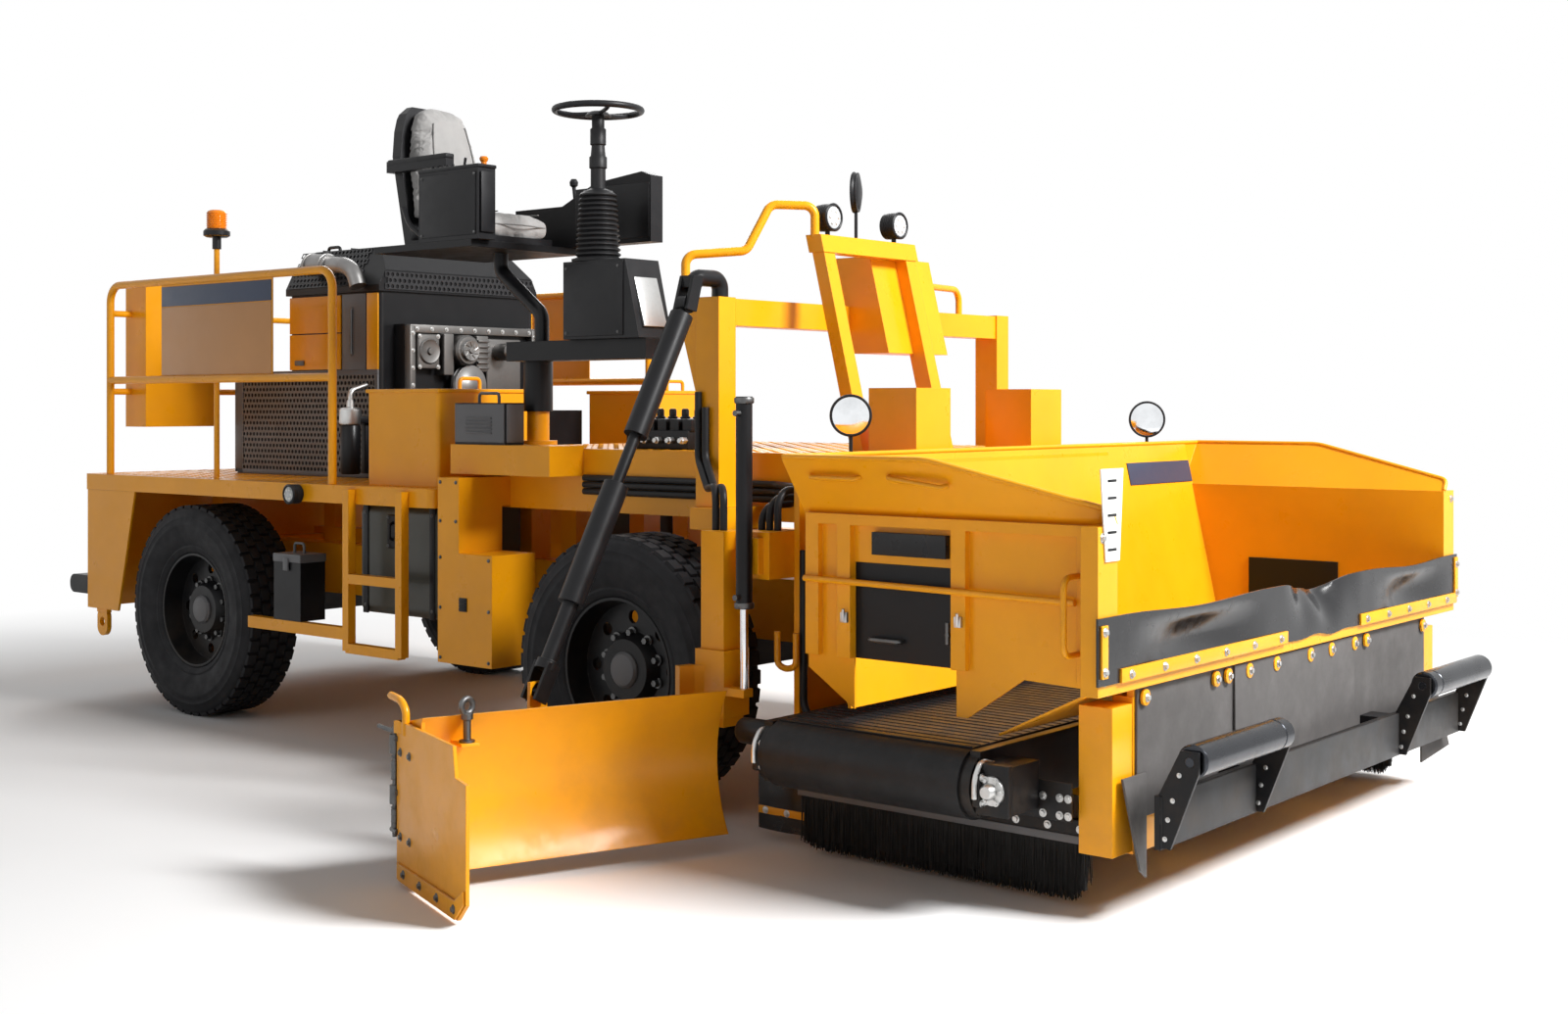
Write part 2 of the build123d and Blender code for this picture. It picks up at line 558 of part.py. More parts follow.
# Hydraulic hoses clipped along the platform's side beam, the gantry's leg and the bulkhead
HOSE_R = 14.0
with BuildPart() as hoses:
    y = -800 - SEAT - HOSE_R
    for row in range(3):
        z = 1218 + row * (2 * HOSE_R + 1)
        x = 760 + row * 38
        pipe(((-560, y, z), (520, y, z), (x, -1010, z), (x, -1190, z), (x, -1190, COLUMN["z"][1] + SEAT)),
             HOSE_R, 70)
    for row, x in enumerate((316, 354)):
        y = -LEG_Y[1] - SEAT - HOSE_R
        top = 1640 - row * 60
        pipe(((x, y, top), (x, y, 1380), (x + 130, y - 90, 1270), (x + 320, -1305, 1290),
              (x + 320, -1305, COLUMN["z"][1] + SEAT)), HOSE_R, 60)
    x = BULKHEAD_X[1] + SEAT + HOSE_R
    pipe(((x, -1143, 1060), (x, -1143, 500), (x + 80, -1180, 415), (1085 - SEAT, -1180, 415)), HOSE_R, 60)
pieces["hoses"] = hoses

# Lift cylinder: barrel beside the column, rod down to the carriage
with BuildPart() as lift_barrel:
    rod((*LIFT, 860), (*LIFT, 1620), LIFT_R)
    rod((*LIFT, 850), (*LIFT, 1600), 15 + SEAT, mode=Mode.SUBTRACT)
pieces["lift_barrel"] = lift_barrel
with BuildPart() as lift_rod:
    rod((*LIFT, 570 + SEAT), (*LIFT, 1380), 15)
pieces["lift_rod"] = lift_rod

# Carriage: sleeve on the column, lug for the lift rod and the blade's hinge pin
across = Vector(cos(radians(SWEEP)), -sin(radians(SWEEP)), 0)
outward = Vector(-sin(radians(SWEEP)), -cos(radians(SWEEP)), 0)


def on_blade(n, s, z):
    """Point given across and along the mouldboard from the hinge."""
    spot = Vector(HINGE[0], HINGE[1], 0) + across * n + outward * s
    return (spot.X, spot.Y, z)


with BuildPart() as carriage:
    block((597, 737), (-1375, -1235), (455, 700))
    block((COLUMN["x"][0] - SLIDE, COLUMN["x"][1] + SLIDE),
          (COLUMN["y"][0] - SLIDE, COLUMN["y"][1] + SLIDE), (420, 710), mode=Mode.SUBTRACT)
    block((737, 832), (-1375, -1325), (540, 570))
    corners = [on_blade(n, s, 0)[:2] for n, s in ((-140, -15), (-140, 45), (-105, 45), (-105, -15))]
    prism(ground_plane(345), corners, 295)
    prism(ground_plane(455), corners + [(650, -1370), (590, -1370)], 185)
    rod(on_blade(-140, 0, HINGE[2]), on_blade(5, 0, HINGE[2]), 28)
pieces["carriage"] = carriage

# Blade: concave mouldboard, back beam, hinge hub, brace lug and end frame
with BuildPart() as blade:
    board = Plane(origin=at(*on_blade(0, BOARD_S, 0)), x_dir=across, z_dir=outward)
    with BuildSketch(board) as section:
        with BuildLine():
            ThreePointArc((110, BLADE_Z[0]), (25, 320), (100, BLADE_Z[1]))
            Line((100, BLADE_Z[1]), (90, BLADE_Z[1]))
            ThreePointArc((90, BLADE_Z[1]), (15, 320), (100, BLADE_Z[0]))
            Line((100, BLADE_Z[0]), (110, BLADE_Z[0]))
        make_face()
    extrude(section.sketch, amount=BLADE_L[1] - BOARD_S)
    beam = Plane(origin=at(*on_blade(0, BLADE_L[0], 0)), x_dir=across, z_dir=outward)
    prism(beam, ((-85, 355), (19, 355), (19, 445), (-85, 445)), BLADE_L[1] - BLADE_L[0])
    rod(on_blade(-97, 0, HINGE[2]), on_blade(-7, 0, HINGE[2]), 44)
    arm = Plane(origin=at(*on_blade(0, 0, 0)), x_dir=across, z_dir=outward)
    prism(arm, ((-85, 365), (-15, 365), (-15, 435), (-85, 435)), BLADE_L[0])
    rod(on_blade(-150, 0, HINGE[2]), on_blade(10, 0, HINGE[2]), 28 + SEAT, mode=Mode.SUBTRACT)
    lug_x = BRACE_LOW[0]
    prism(front_plane(lug_x - 7), ((-1990, 440), (-1900, 440), (-1910, 625), (-1985, 625)), 14)
    block((lug_x - 7, lug_x + 130), (-1955, -1935), (440, 500))
    with BuildSketch(front_plane(lug_x - 7)) as hole:
        with Locations((BRACE_LOW[1], BRACE_LOW[2])):
            Circle(30)
    extrude(hole.sketch, amount=14, mode=Mode.SUBTRACT)
    tip = Plane(origin=at(*on_blade(0, BLADE_L[1] - 12, 0)), x_dir=across, z_dir=outward)
    prism(tip, ((-90, 70), (100, 70), (60, 320), (92, BLADE_Z[1]), (-90, BLADE_Z[1] - 40)), 12)
pieces["blade"] = blade

# End gate: plate with a turned-up shoe and guide bars against the blade's end
with BuildPart() as end_gate:
    face = Plane(origin=at(*on_blade(0, BLADE_L[1] + 10, 0)), x_dir=across, z_dir=outward)
    prism(face, ((-93, 40), (-60, 14), (480, 14), (553, 75), (553, 440), (460, 446), (440, 541),
                 (-93, 541)), 12)
    for n in (-70, 20):
        guide = Plane(origin=at(*on_blade(n, BLADE_L[1] + SLIDE, 0)), x_dir=across, z_dir=outward)
        prism(guide, ((0, 120), (30, 120), (30, 500), (0, 500)), 10 - SLIDE)
pieces["end_gate"] = end_gate

# Gooseneck on the right-hand leg with the fork for the brace
with BuildPart() as gooseneck:
    x = BRACE_TOP[0]
    pipe(((x, -985, LEG_TOP + SEAT), (x, -985, 2080), (x, -1115, 2080), (x, -1155, 2045)), 33, 40)
    for low, high in ((x - 37, x - 23), (x + 23, x + 37)):
        prism(front_plane(low), ((-1215, 1955), (-1160, 1945), (-1120, 2085), (-1175, 2085)),
              high - low)
    block((x - 37, x + 37), (-1175, -1130), (2040, 2085))
    rod((x - 37, BRACE_TOP[1], BRACE_TOP[2]), (x + 37, BRACE_TOP[1], BRACE_TOP[2]), 16)
pieces["gooseneck"] = gooseneck

# Brace: upper sleeve, sliding middle barrel and the lower rod with its fork
brace = Vector(*BRACE_LOW) - Vector(*BRACE_TOP)
brace_dir = brace.normalized()


def on_brace(t):
    """Point on the brace at a distance below its upper pin."""
    spot = Vector(*BRACE_TOP) + brace_dir * t
    return (spot.X, spot.Y, spot.Z)


with BuildPart() as brace_upper:
    rod((BRACE_TOP[0] - 20, *BRACE_TOP[1:]), (BRACE_TOP[0] + 20, *BRACE_TOP[1:]), 36)
    rod(on_brace(20), on_brace(60), 18)
    rod(on_brace(50), on_brace(570), 45)
    rod(on_brace(62), on_brace(580), 22 + SEAT, mode=Mode.SUBTRACT)
    rod((BRACE_TOP[0] - 20, *BRACE_TOP[1:]), (BRACE_TOP[0] + 20, *BRACE_TOP[1:]), 16 + SEAT,
        mode=Mode.SUBTRACT)
pieces["brace_upper"] = brace_upper
with BuildPart() as brace_middle:
    rod(on_brace(300), on_brace(790), 22)
    rod(on_brace(775), on_brace(1250), 48)
    rod(on_brace(900), on_brace(1260), 30 + SEAT, mode=Mode.SUBTRACT)
pieces["brace_middle"] = brace_middle
with BuildPart() as brace_lower:
    rod(on_brace(1060), on_brace(1500), 30)
    for low, high in ((BRACE_LOW[0] - 38, BRACE_LOW[0] - 26), (BRACE_LOW[0] + 26, BRACE_LOW[0] + 38)):
        fork = [on_brace(t)[1:] for t in (1480, 1620)]
        prism(front_plane(low), ((fork[0][0] - 26, fork[0][1] + 14), (fork[0][0] + 26, fork[0][1] - 14),
                                 (fork[1][0] + 26, fork[1][1] - 14), (fork[1][0] - 26, fork[1][1] + 14)),
              high - low)
    rod(on_brace(1470), on_brace(1505), 40)
    rod((BRACE_LOW[0] - 38, *BRACE_LOW[1:]), (BRACE_LOW[0] + 38, *BRACE_LOW[1:]), 11)
pieces["brace_lower"] = brace_lower

# Station arm: sleeve on the post, beam to the foot box and the bent seat pipe
with BuildPart() as station_arm:
    rod((*SWING, 1560), (*SWING, 1868), SWING_R + 15)
    rod((*SWING, 1550), (*SWING, 1776), SWING_R + SEAT, mode=Mode.SUBTRACT)
    block((-1008, -150), (-860, -720), (1782, 1868))
    pipe(((-842, STATION_Y, 1868), (-842, STATION_Y, 1990), (-1110, STATION_Y, 2190),
          (-1110, STATION_Y, 2280)), 32, 60)
    block((-1560, -900), (-1155, -500), (2270, 2300))
pieces["station_arm"] = station_arm

# Seat: moulded shell with an armrest, and its cushions, narrowing towards the top
SEAT_TOP = 2965.0
seat_front = [(SEAT_Y + side * half, z) for side, rows in (
    (-1, ((SEAT_HALF, 2290), (SEAT_HALF, 2720), (165, 2840), (130, 2925), (85, SEAT_TOP))),
    (1, ((85, SEAT_TOP), (130, 2925), (165, 2840), (SEAT_HALF, 2720), (SEAT_HALF, 2290))))
    for half, z in rows]
with BuildPart() as seat_shell:
    prism(side_plane(SEAT_Y + SEAT_HALF), ((-1480, 2300 + SEAT), (-930, 2300 + SEAT), (-930, 2330),
                                           (-1440, 2330), (-1560, 2960), (-1600, 2960), (-1610, 2900)),
          2 * SEAT_HALF)
    prism(front_plane(-1700), seat_front, 900, mode=Mode.INTERSECT)
    side_y = SEAT_Y - SEAT_HALF
    block((-1550, -1508), (side_y - 50, side_y + 5), (2640, 2690))
    block((-1550, -1139), (side_y - 50, side_y - 4), (2640, 2690))
pieces["seat_shell"] = seat_shell
with BuildPart() as seat_cushions:
    prism(side_plane(SEAT_Y + SEAT_HALF), ((-1458, 2430 + SEAT), (-1360, 2430 + SEAT),
                                           (-1390, 2600), (-1470, SEAT_TOP), (-1540, SEAT_TOP),
                                           (-1558, 2955)), 2 * SEAT_HALF)
    prism(front_plane(-1700), seat_front, 900, mode=Mode.INTERSECT)
    block((-1390, -900), (SEAT_Y - SEAT_HALF, SEAT_Y + SEAT_HALF), (2330 + SEAT, 2430))
pieces["seat_cushions"] = seat_cushions

# Panels of the station: console right of the seat, dash on its left, foot box in front
with BuildPart() as station_panels:
    block((-1254, -862), (SEAT_Y - SEAT_HALF - 105, SEAT_Y - SEAT_HALF - 7), (2300 + SEAT, 2613))
    prism(side_plane(-500), ((-1263, 2300 + SEAT), (-1263, 2490), (-950, 2490), (-740, 2580),
                             (-450, 2610), (-394, 2590), (-394, 2300 + SEAT)), 75)
    prism(side_plane(-700), ((-600, 1868 + SEAT), (-150, 1868 + SEAT), (-230, 2200 - SEAT),
                             (-600, 2200 - SEAT)), 200)
pieces["station_panels"] = station_panels

# Steering column: ribbed boot, upright tube and the wheel
with BuildPart() as steer_column:
    boot = Plane(origin=at(STEER["x"], STATION_Y, 0), x_dir=(1, 0, 0), z_dir=(0, -1, 0))
    turned(boot, ((0, 2200), (96, 2200), (78, 2506), (30, 2506), (26, 2830), (0, 2830)))
pieces["steer_column"] = steer_column
with BuildPart() as steer_wheel:
    with BuildSketch(Plane(origin=at(STEER["x"], STATION_Y, 0), x_dir=(1, 0, 0),
                           z_dir=(0, -1, 0))) as ring:
        with Locations((STEER["r"], STEER["z"])):
            Circle(14)
    revolve(ring.sketch, axis=Axis(at(STEER["x"], STATION_Y, 0), (0, 0, 1)))
    rod((STEER["x"], STATION_Y, 2830 + SEAT), (STEER["x"], STATION_Y, STEER["z"]), 40)
    for turn in (90, 210, 330):
        tip_x = STEER["x"] + STEER["r"] * cos(radians(turn))
        tip_y = STATION_Y + STEER["r"] * sin(radians(turn))
        rod((STEER["x"], STATION_Y, STEER["z"] - 8), (tip_x, tip_y, STEER["z"]), 9)
pieces["steer_wheel"] = steer_wheel

for name, piece in pieces.items():
    piece.part.label = name
    export_step(piece.part, f"parts/{name}.step")
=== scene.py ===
"""Looks of a self-propelled road widener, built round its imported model.

Sizes are in millimetres from the point on the ground under the middle of the front axle,
+X forward, +Y to the machine's left and +Z up, unless a line says otherwise.
"""
import json
import math

import bmesh
import bpy
from bpy.props import FloatProperty, FloatVectorProperty, IntProperty, PointerProperty
from mathutils import Matrix, Vector


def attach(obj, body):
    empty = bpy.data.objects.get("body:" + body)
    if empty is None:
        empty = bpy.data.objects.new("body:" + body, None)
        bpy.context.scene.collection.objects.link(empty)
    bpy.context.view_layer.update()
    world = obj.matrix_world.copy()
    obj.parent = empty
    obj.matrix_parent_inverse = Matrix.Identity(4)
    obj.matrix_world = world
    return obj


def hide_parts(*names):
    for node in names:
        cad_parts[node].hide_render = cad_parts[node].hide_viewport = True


bl_info = {
    "name": "Road widener looks",
    "version": (1, 0, 0),
    "blender": (4, 5, 0),
    "location": "View3D > Sidebar > Road widener",
    "description": "Builds the finishes and small pieces of a road widener round its packed model",
    "category": "Object",
}

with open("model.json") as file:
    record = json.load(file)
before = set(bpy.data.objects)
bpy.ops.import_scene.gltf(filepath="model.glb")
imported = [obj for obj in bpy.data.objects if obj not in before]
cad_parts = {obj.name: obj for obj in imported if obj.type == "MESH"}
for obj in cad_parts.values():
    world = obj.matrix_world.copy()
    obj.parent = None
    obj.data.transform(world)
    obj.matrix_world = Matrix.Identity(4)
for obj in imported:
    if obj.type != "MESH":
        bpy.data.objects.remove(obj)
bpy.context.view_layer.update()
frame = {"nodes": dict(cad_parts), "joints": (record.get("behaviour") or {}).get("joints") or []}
JOINTS = {joint["name"]: joint for joint in frame["joints"]}
KINGPIN = JOINTS["steer_right"]["pos_m"]
KINGPIN_OUT = 0.835  # metres from the centre plane
ORIGIN = Vector((KINGPIN[0], KINGPIN[1] + KINGPIN_OUT, 0.0))
SWEEP = math.radians(20)
HINGE = (700.0, -1440.0)
UP, AHEAD, BACK = (0, 0, 1), (1, 0, 0), (-1, 0, 0)
LEFT, RIGHT = (0, 1, 0), (0, -1, 0)
SIDES = (-1, 1)
HANDS = ((-1, "right"), (1, "left"))


def at(x, y, z):
    """Point of the row frame, in metres, from millimetres at the front axle."""
    return ORIGIN + Vector((x, y, z)) / 1000


def on_blade(n, s, z):
    """Millimetre point given across and along the strike-off blade from its hinge."""
    c, d = math.cos(SWEEP), math.sin(SWEEP)
    return (HINGE[0] + c * n - d * s, HINGE[1] - d * n - c * s, z)


def polar(degrees, radius):
    """Both offsets of a place on a circle."""
    angle = math.radians(degrees)
    return radius * math.cos(angle), radius * math.sin(angle)


def rows(xs, ys, zs, facing):
    """Bolt places at every mix of the coordinates, all facing one way."""
    return [(x, y, z, facing) for x in xs for y in ys for z in zs]


class Shape:
    """Collects the faces of one piece before it becomes a mesh object."""

    def __init__(self):
        self.bm = bmesh.new()

    def block(self, x, y, z, bevel=2.0, steps=2):
        """Box between three spans with rounded edges."""
        low, high = at(x[0], y[0], z[0]), at(x[1], y[1], z[1])
        middle, size = (low + high) / 2, high - low
        place = Matrix.Translation(middle) @ Matrix.Diagonal((*[abs(v) for v in size], 1))
        made = bmesh.ops.create_cube(self.bm, size=1.0, matrix=place)["verts"]
        self.soften(made, bevel, steps)
        return self

    def pair(self, x, y, z, bevel=2.0, steps=2):
        """The same box on both sides of the centre plane."""
        for side in SIDES:
            self.block(x, (side * y[0], side * y[1]), z, bevel, steps)
        return self

    def soften(self, verts, bevel, steps=2):
        """Rounds the edges of what was just made."""
        if bevel > 0:
            edges = list({edge for vert in verts for edge in vert.link_edges})
            bmesh.ops.bevel(self.bm, geom=edges, offset=bevel / 1000, segments=steps,
                            profile=0.6, affect="EDGES", clamp_overlap=True)

    def rod(self, start, end, radius, sides=24):
        """Round bar between two points."""
        a, b = at(*start), at(*end)
        along = b - a
        turn = Vector(UP).rotation_difference(along).to_matrix().to_4x4()
        place = Matrix.Translation((a + b) / 2) @ turn
        bmesh.ops.create_cone(self.bm, cap_ends=True, segments=sides, radius1=radius / 1000,
                              radius2=radius / 1000, depth=along.length, matrix=place)
        return self

    def skin(self, rings):
        """Faces between rings of vertices, with flat ends."""
        count = len(rings[0])
        self.bm.faces.new(list(reversed(rings[0])))
        self.bm.faces.new(rings[-1])
        for one, two in zip(rings, rings[1:]):
            for k in range(count):
                n = (k + 1) % count
                self.bm.faces.new((one[k], one[n], two[n], two[k]))
        return self

    def prism(self, points, push, bevel=0.0):
        """Flat outline of millimetre points pushed along a millimetre vector."""
        shift = Vector(push) / 1000
        low = [self.bm.verts.new(at(*point)) for point in points]
        high = [self.bm.verts.new(vert.co + shift) for vert in low]
        self.skin([low, high])
        self.soften(low + high, bevel)
        return self

    def lathe(self, middle, axis, profile, segments=48):
        """Turns an open or closed profile of (radius, along) round an axis through a point."""
        centre, axis = at(*middle), Vector(axis).normalized()
        turn = Vector(UP).rotation_difference(axis).to_matrix().to_4x4()
        place = Matrix.Translation(centre) @ turn
        rings = []
        for radius, along in profile:
            if radius < 0.01:
                rings.append([self.bm.verts.new(place @ Vector((0, 0, along / 1000)))])
                continue
            ring = []
            for i in range(segments):
                angle = 2 * math.pi * i / segments
                spot = Vector((radius * math.cos(angle), radius * math.sin(angle), along)) / 1000
                ring.append(self.bm.verts.new(place @ spot))
            rings.append(ring)
        for one, two in zip(rings, rings[1:]):
            for i in range(segments):
                j = (i + 1) % segments
                corners = (one[i % len(one)], one[j % len(one)],
                           two[j % len(two)], two[i % len(two)])
                unique = list(dict.fromkeys(corners))
                if len(unique) > 2:
                    self.bm.faces.new(unique)
        return self

    def pipe(self, points, radius, sides=14, bend=None, steps=6):
        """Round tube through millimetre points, its corners turned on arcs."""
        path = rounded(points, bend if bend else radius * 3, steps)
        rings = []
        previous = None
        for i, spot in enumerate(path):
            ahead = path[min(i + 1, len(path) - 1)] - path[max(i - 1, 0)]
            ahead.normalize()
            if previous is None:
                side = ahead.orthogonal().normalized()
            else:
                side = (previous - ahead * previous.dot(ahead)).normalized()
            previous = side
            other = ahead.cross(side)
            ring = []
            for k in range(sides):
                angle = 2 * math.pi * k / sides
                offset = side * math.cos(angle) + other * math.sin(angle)
                ring.append(self.bm.verts.new(spot + offset * radius / 1000))
            rings.append(ring)
        return self.skin(rings)

    def handle(self, one, two, rise, radius, sides, bend):
        """Bow between two feet, raised by a millimetre vector."""
        tops = [tuple(Vector(foot) + Vector(rise)) for foot in (one, two)]
        return self.pipe((one, tops[0], tops[1], two), radius, sides, bend)

    def torus(self, middle, axis, major, minor, major_steps=40, minor_steps=12):
        """Ring round an axis."""
        profile = []
        for i in range(minor_steps + 1):
            angle = 2 * math.pi * i / minor_steps
            profile.append((major + minor * math.cos(angle), minor * math.sin(angle)))
        return self.lathe(middle, axis, profile, major_steps)

    def sheet(self, surface, columns, lines, push):
        """Closed slab over a grid of millimetre points, thickened backwards by a vector."""
        shift = Vector(push) / 1000
        front = []
        for k in range(lines + 1):
            line = [at(*surface(i / columns, k / lines)) for i in range(columns + 1)]
            front.append([self.bm.verts.new(spot) for spot in line])
        back = [[self.bm.verts.new(vert.co - shift) for vert in row] for row in front]
        for grid in (front, back):
            for one, two in zip(grid, grid[1:]):
                for i in range(columns):
                    self.bm.faces.new((one[i], one[i + 1], two[i + 1], two[i]))
        rim = [(0, i) for i in range(columns)] + [(k, columns) for k in range(lines)]
        rim += [(lines, i) for i in range(columns, 0, -1)] + [(k, 0) for k in range(lines, 0, -1)]
        for (a, b), (c, d) in zip(rim, rim[1:] + rim[:1]):
            self.bm.faces.new((front[a][b], front[c][d], back[c][d], back[a][b]))
        return self

    def done(self, name, finish, body="chassis", sharp=32.0, replaces=()):
        """Makes the mesh object, gives it its finish and its body."""
        bmesh.ops.remove_doubles(self.bm, verts=self.bm.verts, dist=1e-6)
        bmesh.ops.recalc_face_normals(self.bm, faces=self.bm.faces)
        mesh = bpy.data.meshes.new(name)
        self.bm.to_mesh(mesh)
        self.bm.free()
        piece = bpy.data.objects.new(name, mesh)
        bpy.context.scene.collection.objects.link(piece)
        return settle(piece, finish, body, sharp, replaces)


def rounded(points, bend, steps):
    """Row-frame path through millimetre points with each corner on an arc."""
    spots = [at(*point) for point in points]
    path = [spots[0]]
    for before, corner, after in zip(spots, spots[1:], spots[2:]):
        one, two = before - corner, after - corner
        reach = min(bend / 1000, 0.48 * one.length, 0.48 * two.length)
        start, end = corner + one.normalized() * reach, corner + two.normalized() * reach
        for i in range(steps + 1):
            t = i / steps
            path.append((1 - t) ** 2 * start + 2 * t * (1 - t) * corner + t * t * end)
    path.append(spots[-1])
    return path


def settle(piece, finish, body="chassis", sharp=32.0, replaces=()):
    """Gives a finished mesh object its shading, finish and body."""
    piece.data.materials.clear()
    piece.data.materials.append(FINISH[finish])
    piece.data.shade_smooth()
    piece.data.set_sharp_from_angle(angle=math.radians(sharp))
    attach(piece, body)
    if replaces:
        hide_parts(*replaces)
    return piece


# Finishes

FINISH = {}
CHIPPED = 0.35
DUST_TOP = 0.75  # metres above the ground
ROAD_DUST = (0.20, 0.13, 0.07)


def add_node(tree, kind, inputs=None, **settings):
    """Outputs of a new node, each input a socket, a list of sockets or a plain value."""
    made = tree.nodes.new(kind)
    for key, value in settings.items():
        setattr(made, key, value)
    for key, value in (inputs or {}).items():
        for one in value if isinstance(value, list) else [value]:
            if isinstance(one, bpy.types.NodeSocket):
                tree.links.new(one, made.inputs[key])
            else:
                made.inputs[key].default_value = one
    return made.outputs


def new_finish(name, colour, rough, metal=0.0, coat=0.0, specular=0.5):
    """Starts a finish and returns its tree, shader and object-space texture coordinates."""
    material = bpy.data.materials.new(name)
    material.use_nodes = True
    tree = material.node_tree
    shader = tree.nodes["Principled BSDF"]
    for label, value in (("Base Color", (*colour, 1.0)), ("Roughness", rough), ("Metallic", metal),
                         ("Coat Weight", coat), ("Specular IOR Level", specular)):
        shader.inputs[label].default_value = value
    FINISH[name] = material
    return tree, shader, add_node(tree, "ShaderNodeTexCoord")["Object"]


def feed(tree, shader, **sockets):
    """Links what drives the shader's colour, roughness and normal."""
    for label, socket in sockets.items():
        tree.links.new(socket, shader.inputs[label.replace("_", " ")])


def noise(tree, where, scale, detail=4.0, rough=0.6):
    """Fractal noise on the object's own coordinates."""
    return add_node(tree, "ShaderNodeTexNoise", {"Scale": scale, "Detail": detail,
                                                 "Roughness": rough, "Vector": where})["Fac"]


def ramp(tree, value, low, high, out_low=0.0, out_high=1.0):
    """Maps a value between two limits to two others."""
    return add_node(tree, "ShaderNodeMapRange", {"From Min": low, "From Max": high,
                                                 "To Min": out_low, "To Max": out_high,
                                                 "Value": value})["Result"]


def patches(tree, where, scale, detail=4.0, low=0.0, high=1.0):
    """Soft patches of noise between two values."""
    return ramp(tree, noise(tree, where, scale, detail), 0.3, 0.7, low, high)


def blend(tree, factor, one, two):
    """Mixes two colours, each a colour or a socket."""
    one, two = [(*c, 1.0) if isinstance(c, tuple) else c for c in (one, two)]
    return add_node(tree, "ShaderNodeMix", {0: factor, 6: one, 7: two}, data_type="RGBA")[2]


def math_node(tree, kind, one, two):
    """Arithmetic on two sockets or numbers."""
    return add_node(tree, "ShaderNodeMath", {0: one, 1: two}, operation=kind)[0]


def times(tree, one, two):
    """Product of two sockets or numbers."""
    return math_node(tree, "MULTIPLY", one, two)


def shade(colour, much):
    """Colour made darker."""
    return tuple(c * much for c in colour)


def bump(tree, shader, height, strength, distance, under=None):
    """Raises the surface by a height."""
    inputs = {"Strength": strength, "Distance": distance, "Height": height}
    if under is not None:
        inputs["Normal"] = under
    feed(tree, shader, Normal=add_node(tree, "ShaderNodeBump", inputs)["Normal"])


def soft_edges(tree, radius):
    """Normal rounded over sharp edges."""
    return add_node(tree, "ShaderNodeBevel", {"Radius": radius}, samples=4)["Normal"]


def edge_mask(tree, rounded_normal):
    """One where the rounded normal leaves the surface's own."""
    own = add_node(tree, "ShaderNodeNewGeometry")["Normal"]
    match = add_node(tree, "ShaderNodeVectorMath", {0: rounded_normal, 1: own},
                     operation="DOT_PRODUCT")["Value"]
    return ramp(tree, match, 0.995, 0.85)


def paint(name, colour, worn, rough=0.3, coat=0.08, dust=0.25, specular=0.3):
    """Sprayed enamel: faint mottling, chipped edges, orange peel and dust low down."""
    tree, shader, where = new_finish(name, colour, rough, coat=coat, specular=specular)
    shader.inputs["Coat Roughness"].default_value = 0.12
    normal = soft_edges(tree, 0.004)
    edge = edge_mask(tree, normal)
    base = blend(tree, patches(tree, where, 1.7, 5.0), shade(colour, 0.86), colour)
    chips = ramp(tree, noise(tree, where, 38.0, 6.0, 0.7), 0.52, 0.62)
    base = blend(tree, times(tree, times(tree, edge, chips), CHIPPED), base, worn)
    split = add_node(tree, "ShaderNodeSeparateXYZ", {0: where})
    low = ramp(tree, split["Z"], DUST_TOP, 0.0)
    grime = times(tree, low, ramp(tree, noise(tree, where, 6.0, 8.0, 0.65), 0.42, 0.75))
    base = blend(tree, times(tree, grime, dust), base, ROAD_DUST)
    gloss = patches(tree, where, 9.0, 6.0, rough - 0.05, rough + 0.1)
    dull = math_node(tree, "ADD", gloss, times(tree, grime, 0.3))
    feed(tree, shader, Base_Color=base, Roughness=dull)
    bump(tree, shader, noise(tree, where, 420.0, 2.0), 0.05, 0.0006, normal)


def rubber(name, colour, rough=0.62, grain=260.0, dusty=0.3, specular=0.2):
    """Moulded rubber with fine grain and a little road dust."""
    tree, shader, where = new_finish(name, colour, rough, specular=specular)
    normal = soft_edges(tree, 0.003)
    dust = ramp(tree, noise(tree, where, 5.0, 8.0, 0.7), 0.45, 0.8)
    tinted = tuple(min(1.0, c * 2.2 + 0.02) for c in colour)
    feed(tree, shader, Base_Color=blend(tree, times(tree, dust, dusty), colour, tinted),
         Roughness=patches(tree, where, 14.0, 5.0, rough - 0.08, rough + 0.12))
    bump(tree, shader, noise(tree, where, grain, 3.0), 0.12, 0.0008, normal)


def bare_metal(name, colour, rough):
    """Steel or chrome with drawn lines and smudges."""
    tree, shader, where = new_finish(name, colour, rough, metal=1.0)
    normal = soft_edges(tree, 0.002)
    drawn = add_node(tree, "ShaderNodeMapping", {"Scale": (1.0, 1.0, 40.0), "Vector": where})[0]
    lines, smudge = noise(tree, drawn, 30.0), noise(tree, where, 12.0, 5.0)
    mixed = math_node(tree, "ADD", times(tree, lines, 0.5), times(tree, smudge, 0.5))
    dull = ramp(tree, mixed, 0.3, 0.7, max(0.03, rough - 0.08), rough + 0.12)
    tone = blend(tree, ramp(tree, smudge, 0.4, 0.75), colour, shade(colour, 0.8))
    feed(tree, shader, Roughness=dull, Base_Color=tone)
    bump(tree, shader, lines, 0.04, 0.0004, normal)


